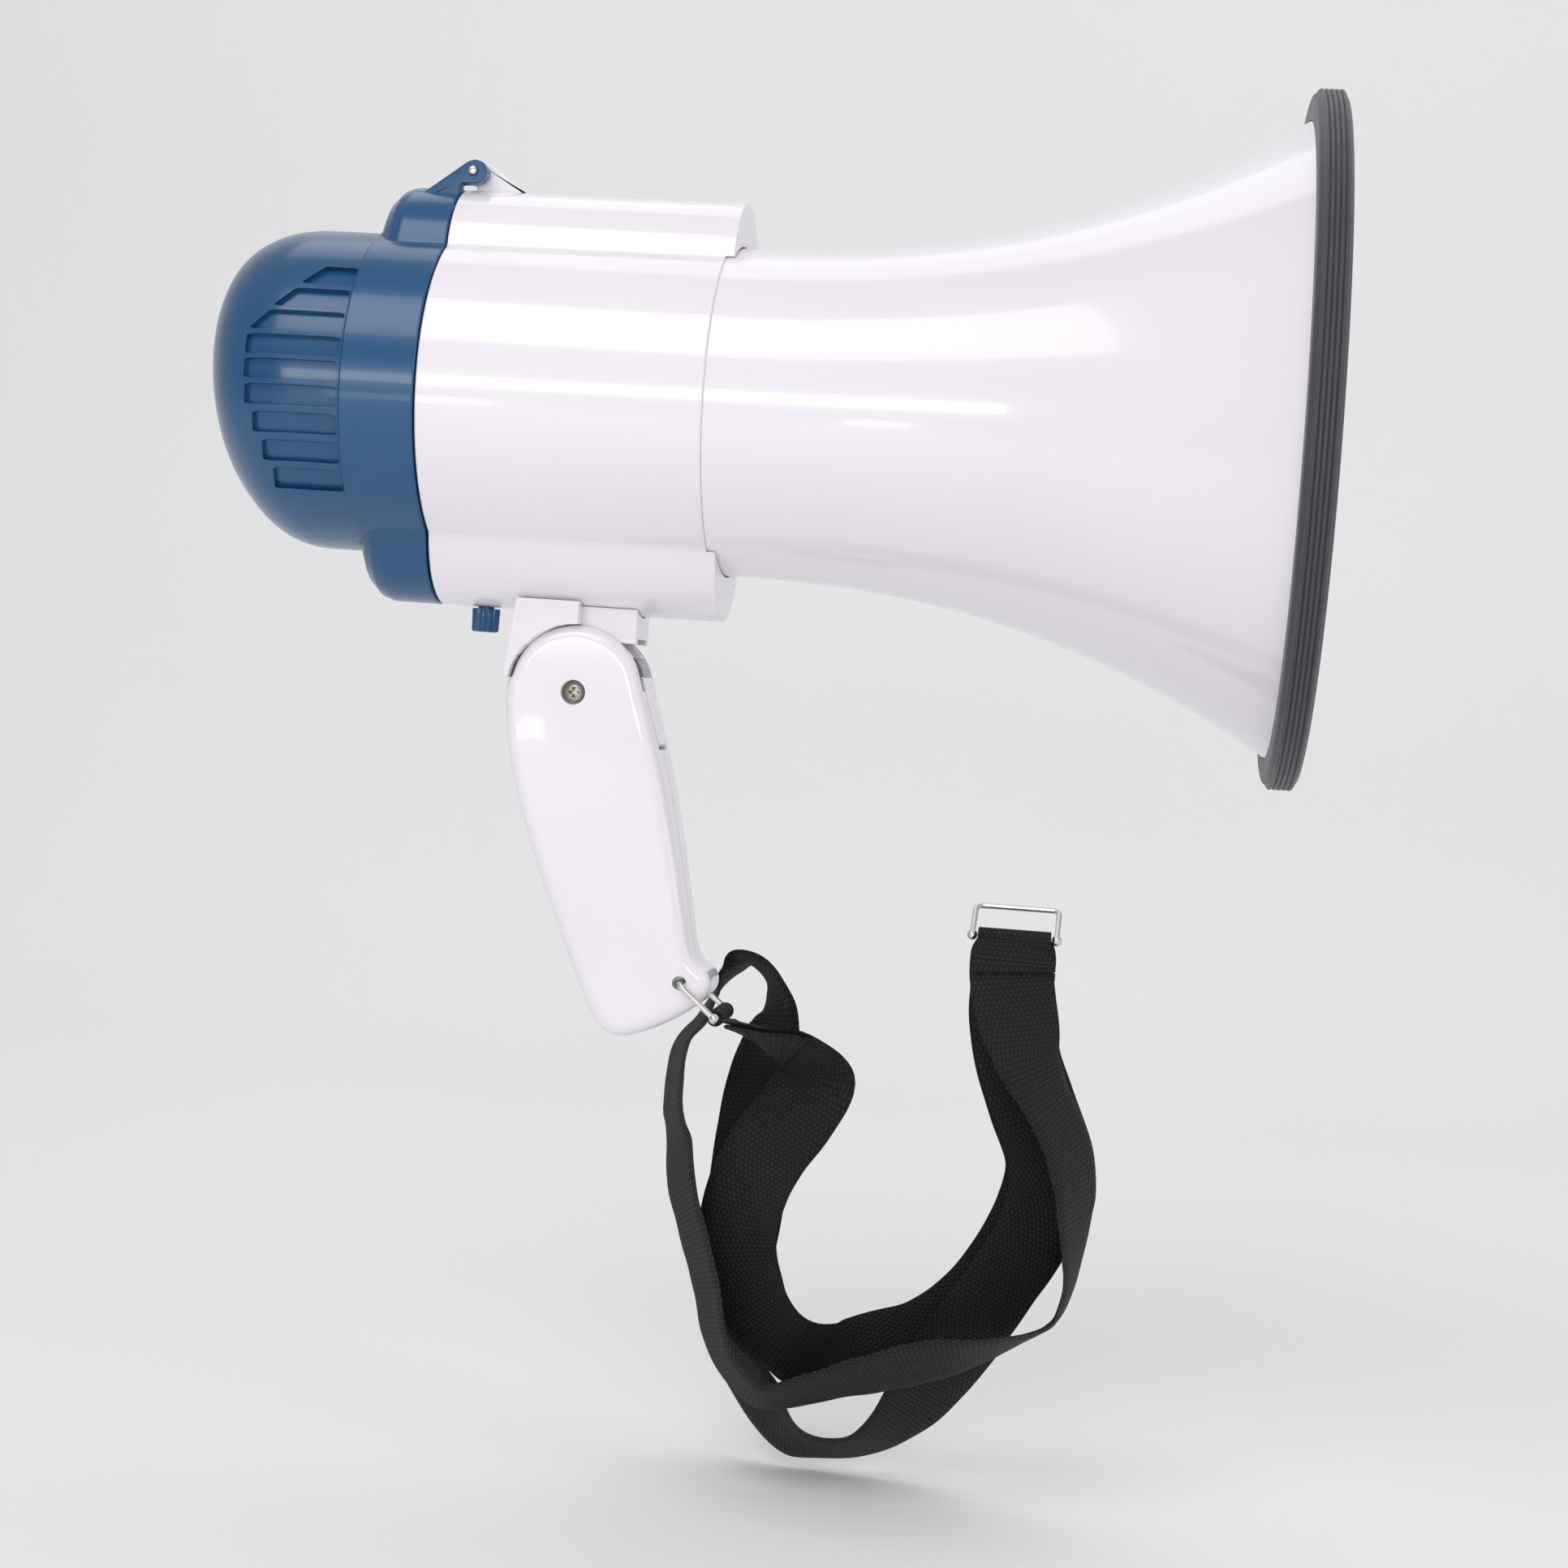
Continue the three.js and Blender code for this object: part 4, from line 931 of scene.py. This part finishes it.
def add_cap():
    body = cut(cap_form(), cap_form(WALL))
    cutters = []
    for sign in (1, -1):
        for row, z in enumerate(SLOT_ROWS):
            half = 2.3
            rear = -82.0 + max(-z - 4, 0) * 0.33
            top = rear + max(-z - 4, 0) * 0.02
            if z > 9:
                # the three upper slots are cut off along one slanting line
                rear = -81.6 + (z - half - 9.6) * 0.92
                top = -81.6 + (z + half - 9.6) * 0.92
            front = -58.8 - 0.5 * (1 - (z / 26) ** 2)
            cutters.append(slot_cutter(sign, z, half, rear, top, front))
    body = cut(body, merged(*cutters))
    lip = BARREL_RADIUS - WALL - GAP
    start = BARREL_REAR_X
    ring = [(start - 5, lip - 1.6), (start - 5, lip + 0.8), (start - GAP, lip + 0.8),
            (start - GAP, lip), (start + 3.2, lip), (start + 3.5, lip - 0.3),
            (start + 3.5, lip - 1.6)]
    body = join(body, lathe("lip", ring, 160))
    for y in (-6, -2, 2, 6):
        reach = 7.0 - abs(y) * 0.25
        body = cut(body, block(CAP_REAR_X - 3, CAP_REAR_X + 7, y - 0.8, y + 0.8,
                               AXIS_Z - reach, AXIS_Z + reach))
    x, z = HINGE[0], HINGE[2] - AXIS_Z
    arm = rounded([(-54, 44), (-50.8, 46.9), (x - 1.5, z + 2.2), (x + 0.2, z + 2.8),
                   (x + 2.2, z + 2.2), (x + 3.2, z + 0.8), (x + 3.3, z - 0.8),
                   (x + 2.2, z - 2.4), (x + 0.4, z - 3), (-41.4, z - 3), (-41.4, 44)], 0.7, 4)
    for y0, y1 in ((-9, -5), (5, 9)):
        body = join(body, prism(arm, y0, y1, 0.45, 3, (0, AXIS_Z)))
    body = cut(body, rod("y", PIN_BORE, -12, 12, HINGE[0], HINGE[2], 32))
    # shut, the cap stands open by a hair at its foot
    hinge = Vector(HINGE) * MM
    body.transform(Matrix.Translation(hinge) @ Matrix.Rotation(CAP_GAPE, 4, "Y")
                   @ Matrix.Translation(-hinge))
    piece("cap_shell", body, "cap", BLUE, "rear_cap", angle=28)


def add_hinge_pin():
    low, high = box_mm("cap_hinge_pin")
    head = [(low[1], 0), (low[1] + 0.03, 0.4), (low[1] + 0.1, 0.75), (low[1] + 0.3, 1.0),
            (low[1] + 0.75, 1.05), (low[1] + 0.8, 0.85)]
    tail = [(high[1] - (a - low[1]), r) for a, r in head[::-1]]
    mesh = lathe("pin", head + tail, 40, (HINGE[0], HINGE[2]), "y")
    piece("hinge_pin_rivet", mesh, "housing", STEEL, "cap_hinge_pin")


add_housing()
add_cap()
add_hinge_pin()


# ---- volume knob ----
def add_knob():
    low, high = box_mm("volume_knob")
    flutes, sides = 12, 144
    radius = (high[0] - low[0]) / 2
    rings = []
    for z, scale, depth in ((low[2], 0.80, 0.0), (low[2] + 0.15, 0.9, 0.3),
                            (low[2] + 0.7, 0.97, 1.0), (low[2] + 3.5, 0.98, 1.0),
                            (low[2] + 5.3, 1.0, 1.0), (low[2] + 5.6, 0.96, 0.6)):
        ring = []
        for k in range(sides):
            a = 2 * math.pi * k / sides
            r = radius * scale - 0.36 * depth * (0.5 - 0.5 * math.cos(flutes * a)) ** 2
            ring.append((KNOB[0] + r * math.cos(a), KNOB[1] + r * math.sin(a), z))
        rings.append(ring)
    body = loft("knob", rings)
    body = join(body, rod("z", 1.9, low[2] + 4, high[2], KNOB[0], KNOB[1], 32))
    piece("volume_knob_cap", body, "knob", BLUE, "volume_knob")


add_knob()


# ---- grip, in pivot-centred coordinates ----
GRIP_CORNERS = [(HANDLE_TOP_RADIUS * math.cos(a), HANDLE_TOP_RADIUS * math.sin(a))
                for a in np.radians(np.linspace(28, 168, 16))] + [
    (-16.4, 1.6), (-16.6, -1), (-16, -9.7), (-13.6, -21), (-10.2, -32), (-5.9, -43.4), (-1, -55.2),
    (4, -66.5), (8.3, -75.2), (11.4, -79.1), (16, -80.4), (22.5, -78.3), (29.5, -74.6),
    (34.6, -70.6), (36.4, -67), (35.4, -63.9), (32.4, -61.6), (30.9, -58.6), (29.6, -53),
    (27.7, -43.3), (25.2, -31.5), (22, -18.5), (18.3, -6), (15.6, 2.5)]


def even(loop, pitch):
    """A closed loop's points, spread evenly."""
    closed = np.vstack([loop, loop[:1]])
    run = np.concatenate([[0], np.cumsum(np.linalg.norm(np.diff(closed, axis=0), axis=1))])
    marks = np.linspace(0, run[-1], int(run[-1] / pitch), endpoint=False)
    return np.stack([np.interp(marks, run, closed[:, i]) for i in (0, 1)], 1)


def room_inside(loop, normals, most):
    """How far each point may move inwards before it meets another side."""
    room = np.full(len(loop), most)
    for i, (p, n) in enumerate(zip(loop, normals)):
        for t in np.arange(0.2, most + 0.1, 0.2):
            if np.min(np.linalg.norm(loop - (p + n * t), axis=1)) < t * 0.93:
                room[i] = t - 0.2
                break
    return room


CROWN = 0.45                        # the side's slight swell
BOSS_TOP = {-36: 9.2, -66: 9.4}     # how far the screw bosses reach, by their height


def grip_half(sign, inset=0.0):
    """One half of the grip, with rounded edges. Its side stops short by the crown, which shaped_side
    adds.
    """
    loop = even(catmull(GRIP_CORNERS, 6, closed=True), 0.7)
    normals = inward(loop)
    normals /= np.linalg.norm(normals, axis=1)[:, None]
    loop = loop + normals * inset
    radius = 3.0 if not inset else 1.2
    room = room_inside(loop, normals, radius)
    half = HANDLE_HALF - CROWN - inset
    rings = []
    for y in (GAP / 2 if not inset else -0.5, (half - radius) / 2):
        rings.append([(x, sign * y, z) for x, z in loop])
    steps = 7
    for k in range(steps + 1):
        a = math.pi / 2 * k / steps
        shift = np.minimum(radius * (1 - math.cos(a)), room)[:, None]
        y = half - radius * (1 - math.sin(a))
        rings.append([(x, sign * y, z) for x, z in loop + normals * shift])
    mesh = loft("grip", rings)
    mesh.transform(Matrix.Translation((PIVOT[0] * MM, 0, PIVOT[2] * MM)))
    return mesh


def shaped_side(mesh):
    """Tapers a grip half towards its foot, and crowns its side."""
    bm = bmesh.new()
    bm.from_mesh(mesh)
    slices = [((0, 0, 1), z) for z in range(-76, 16, 4)]
    slices += [((1, 0, 0), x) for x in range(-14, 36, 4)]
    for normal, at in slices:
        geometry = bm.verts[:] + bm.edges[:] + bm.faces[:]
        place = [(PIVOT[i] + at) * MM if n else 0 for i, n in enumerate(normal)]
        bmesh.ops.bisect_plane(bm, geom=geometry, plane_co=place, plane_no=normal)
    edge = even(catmull(GRIP_CORNERS, 6, closed=True), 0.7)
    for v in bm.verts:
        x, z = v.co.x / MM - PIVOT[0], v.co.z / MM - PIVOT[2]
        inside = min(np.min(np.hypot(edge[:, 0] - x, edge[:, 1] - z)) / 12, 1)
        swell = 1 + CROWN * inside * (2 - inside) / (HANDLE_HALF - CROWN)
        low = min(max((-10 - z) / 56, 0), 1)
        v.co.y *= swell * (1 + (HANDLE_HALF_LOW / HANDLE_HALF - 1) * low)
    out = bpy.data.meshes.new("grip side")
    bm.to_mesh(out)
    bm.free()
    return out


def local_rod(radius, low, high, x=0.0, z=0.0, segments=48):
    return rod("y", radius, low, high, PIVOT[0] + x, PIVOT[2] + z, segments)


SHELL_SCREWS = [(4, -36), (16, -66)]
SCREW_BORE = 1.35
TRIGGER_HALF = 4.8
TRIGGER_FOOT = -12.3                # lower end of its opening, from the pivot
TONGUE_HALF = 8.0


def add_grip():
    for sign, name, node in ((-1, "grip_near_side", "grip_shell_near"),
                             (1, "grip_far_side", "grip_shell_far")):
        body = cut(grip_half(sign), grip_half(sign, WALL))
        for x, z in SHELL_SCREWS:
            lo, hi = sorted((sign * GAP / 2, sign * BOSS_TOP[z]))
            body = join(body, local_rod(3.1, lo, hi, x, z))
        lo, hi = sorted((sign * GAP / 2, sign * 10.2))
        px, pz = PIVOT[0], PIVOT[2]
        slot, opening = TONGUE_HALF + GAP, TRIGGER_HALF + GAP
        body = join(body, local_rod(4.2, lo, hi, *HOLE))
        body = cut(body, local_rod(HANDLE_TOP_RADIUS + GAP - 0.1, -slot, slot, segments=96),
                   block(px + 10, px + 30, -opening, opening, pz + TRIGGER_FOOT, pz + 7),
                   local_rod(1.65, -20, 20, *HOLE), local_rod(1.8, -20, 20))
        if sign < 0:
            body = cut(body, local_rod(2.9, -20, -HANDLE_HALF + 3.4))
            for x, z in SHELL_SCREWS:
                body = cut(body, local_rod(SCREW_BORE, -6, 2, x, z))
        else:
            body = cut(body, local_rod(3.9, HANDLE_HALF - 2.6, 20, segments=6))
            for x, z in SHELL_SCREWS:
                body = cut(body, local_rod(SCREW_BORE, -2, 20, x, z), local_rod(2.9, 7, 20, x, z))
        piece(name, shaped_side(body), "grip", WHITE, node, angle=30)


def add_pivot_screw():
    """A raised head with a cross recess."""
    head = -HANDLE_HALF + 1.3
    profile = [(head - 0.5, 0), (head - 0.46, 0.7), (head - 0.32, 1.4), (head - 0.05, 2.0),
               (head + 0.2, 2.25), (head + 0.6, 2.25), (head + 0.62, 1.55),
               (HANDLE_HALF - 0.7, 1.55), (HANDLE_HALF - 0.7, 0)]
    body = lathe("bolt", profile, 64, (PIVOT[0], PIVOT[2]), "y")
    for turn in (3, 93):
        arm = [(-1.35, -0.34), (1.35, -0.34), (1.35, 0.34), (-1.35, 0.34)]
        c, s = math.cos(math.radians(turn)), math.sin(math.radians(turn))
        rings = []
        for y, scale in ((head - 1, 1.15), (head + 1.0, 0.5)):
            ring = [(x * scale, z) for x, z in arm]
            rings.append([(PIVOT[0] + x * c - z * s, y, PIVOT[2] + x * s + z * c) for x, z in ring])
        body = cut(body, loft("arm", rings))
    piece("pivot_screw_head", body, "grip", NICKEL, "pivot_bolt")


def add_trigger():
    outline = [(14.6, 4.8), (15.7, 4.4), (20.2, -10.2), (19.3, -11.8), (17.6, -12),
               (19.8, -24), (17.8, -24.4), (15.8, -12), (15.2, -6), (14.7, 0)]
    loop = rounded(outline, 0.5, 4)
    body = prism(loop, -TRIGGER_HALF, TRIGGER_HALF, 0.35, 4, (PIVOT[0], PIVOT[2]))
    piece("trigger_lever", body, "trigger", WHITE, "trigger")


add_grip()
add_pivot_screw()
add_trigger()


def add_bracket():
    """The ear under the lower pod, the block in front of it, and the tongue in the grip."""
    mesh = frame["nodes"]["handle_bracket"].data.copy()
    with editing(mesh) as bm:
        bmesh.ops.remove_doubles(bm, verts=bm.verts, dist=1e-6)
        bmesh.ops.dissolve_limit(bm, angle_limit=math.radians(0.5), verts=bm.verts,
                                 edges=bm.edges)
    piece("bracket_moulding", mesh, "housing", WHITE, "handle_bracket", angle=25)


add_bracket()


SPRING_REAR, SPRING_FRONT = 8.9, 15.9      # from the pivot
SPRING_RADIUS, SPRING_WIRE, SPRING_TURNS = 1.8, 0.3, 6


def add_spring():
    """A coil spring, drawn at one fixed length, that the trigger comes in against."""
    low, high = box_mm("trigger_spring")
    y, z = (low[1] + high[1]) / 2, (low[2] + high[2]) / 2
    steps = SPRING_TURNS * 20
    path = []
    for i in range(steps + 1):
        angle = 2 * math.pi * SPRING_TURNS * i / steps
        path.append((PIVOT[0] + SPRING_REAR + (SPRING_FRONT - SPRING_REAR) * i / steps,
                     y + SPRING_RADIUS * math.cos(angle), z + SPRING_RADIUS * math.sin(angle)))
    coil = piece("trigger_spring_coil", tube("coil", path, SPRING_WIRE, 8), "grip", STEEL,
                 "trigger_spring", angle=60)
    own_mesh(coil)


add_spring()


def add_cells():
    """Each cell is a steel can with a button at its front, in a shrunk sleeve."""
    for number in range(1, 5):
        node = f"battery_cell_{number}"
        low, high = box_mm(node)
        centre = ((low[1] + high[1]) / 2, (low[2] + high[2]) / 2)
        rear, front, radius = low[0], high[0], (high[1] - low[1]) / 2
        can = [(rear + 0.4, 0), (rear + 0.4, 2.6), (rear, 3.4), (rear, radius - 3.2),
               (rear + 0.4, radius - 2.7), (front - 2.3, radius - 2.7), (front - 2, radius - 3.1),
               (front - 2, 4), (front - 1.7, 3.6), (front - 0.3, 3.4), (front, 3), (front, 0)]
        sleeve = [(rear + 0.7, 0), (rear + 0.7, radius - 2), (rear + 0.3, radius - 1.6),
                  (rear + 0.4, radius - 0.7), (rear + 1, radius - 0.1), (rear + 1.8, radius),
                  (front - 3.6, radius), (front - 2.8, radius - 0.1), (front - 2.2, radius - 0.7),
                  (front - 2.1, radius - 1.6), (front - 2.5, radius - 2), (front - 2.5, 0)]
        piece(f"cell_{number}_can", lathe("can", can, 64, centre), "housing", STEEL)
        piece(f"cell_{number}_sleeve", lathe("sleeve", sleeve, 96, centre), "housing", CELL, node)


add_cells()


# ---- CAD nodes that stay ----
PAINT = {
    "driver_frame": STEEL, "driver_magnet": BLACK, "driver_diaphragm": CONE,
    "battery_tray": BLACK, "amplifier_board": BOARD, "volume_control": BLACK,
    "microphone_capsule": STEEL, "microphone_holder": FOAM, "trigger_switch": BLACK,
    "switch_button": BLUE, "strap_pin": STEEL, "end_pin": STEEL,
    "pivot_nut": STEEL, "bracket_screw_1": STEEL, "bracket_screw_2": STEEL,
    "grip_screw_1": STEEL, "grip_screw_2": STEEL,
}
for number in range(1, 5):
    PAINT[f"cell_contact_{number}"] = STEEL
for node, material in PAINT.items():
    for material_slot in frame["nodes"][node].material_slots:
        material_slot.material = material


# ---- floor and light ----
def add_stage():
    floor_z = cad_box[0][2] - 0.002
    reach, depth, bend = 3.0, 1.1, 0.5
    rings = []
    line = [(-2.4, 0.0), (depth - bend, 0.0)]
    line += [(depth - bend + bend * math.sin(a), bend * (1 - math.cos(a)))
             for a in np.linspace(0, math.pi / 2, 16)[1:]]
    line += [(depth, 2.6)]
    points = [(x, y, floor_z + z) for y, z in line for x in (-reach, reach)]
    faces = [(2 * i, 2 * i + 1, 2 * i + 3, 2 * i + 2) for i in range(len(line) - 1)]
    mesh = bpy.data.meshes.new("floor")
    mesh.from_pydata(points, [], faces)
    n = Nodes("pale floor")
    n.surface(Base_Color=n.mix(n.noise(3.0, 2.0), (0.93, 0.93, 0.935), (0.9, 0.9, 0.905)),
              Roughness=0.9)
    mesh.materials.append(n.material)
    smooth(mesh, 60)
    add_object("floor", mesh)


def add_light(name, place, target, size, power):
    data = bpy.data.lights.new(name, "AREA")
    data.shape = "RECTANGLE"
    data.size, data.size_y = size
    data.energy = power
    light = add_object(name, data)
    light.location = place
    aim = Vector(target) - Vector(place)
    light.rotation_euler = aim.to_track_quat("-Z", "Y").to_euler()


add_stage()
add_light("key", (-0.35, -1.0, 1.25), (0.03, 0, 0.08), (1.1, 0.8), 8.0)
add_light("strip", (-0.05, -1.35, 0.24), (0.0, 0, 0.1), (1.3, 0.15), 4.4)
add_light("pane", (-0.40, -1.3, -0.07), (0.0, 0, -0.02), (0.12, 0.1), 0.18)
add_light("right", (1.3, -0.5, 0.5), (0.05, 0, 0.05), (0.8, 1.0), 3.0)
add_light("back", (0.1, 0.6, 1.5), (0.05, 0.4, 0), (1.8, 0.8), 5)

world = bpy.data.worlds.new("soft light")
world.use_nodes = True
world.node_tree.nodes["Background"].inputs["Color"].default_value = (0.98, 0.98, 1.0, 1)
world.node_tree.nodes["Background"].inputs["Strength"].default_value = 0.42
bpy.context.scene.world = world
bpy.context.scene.view_settings.view_transform = "Standard"
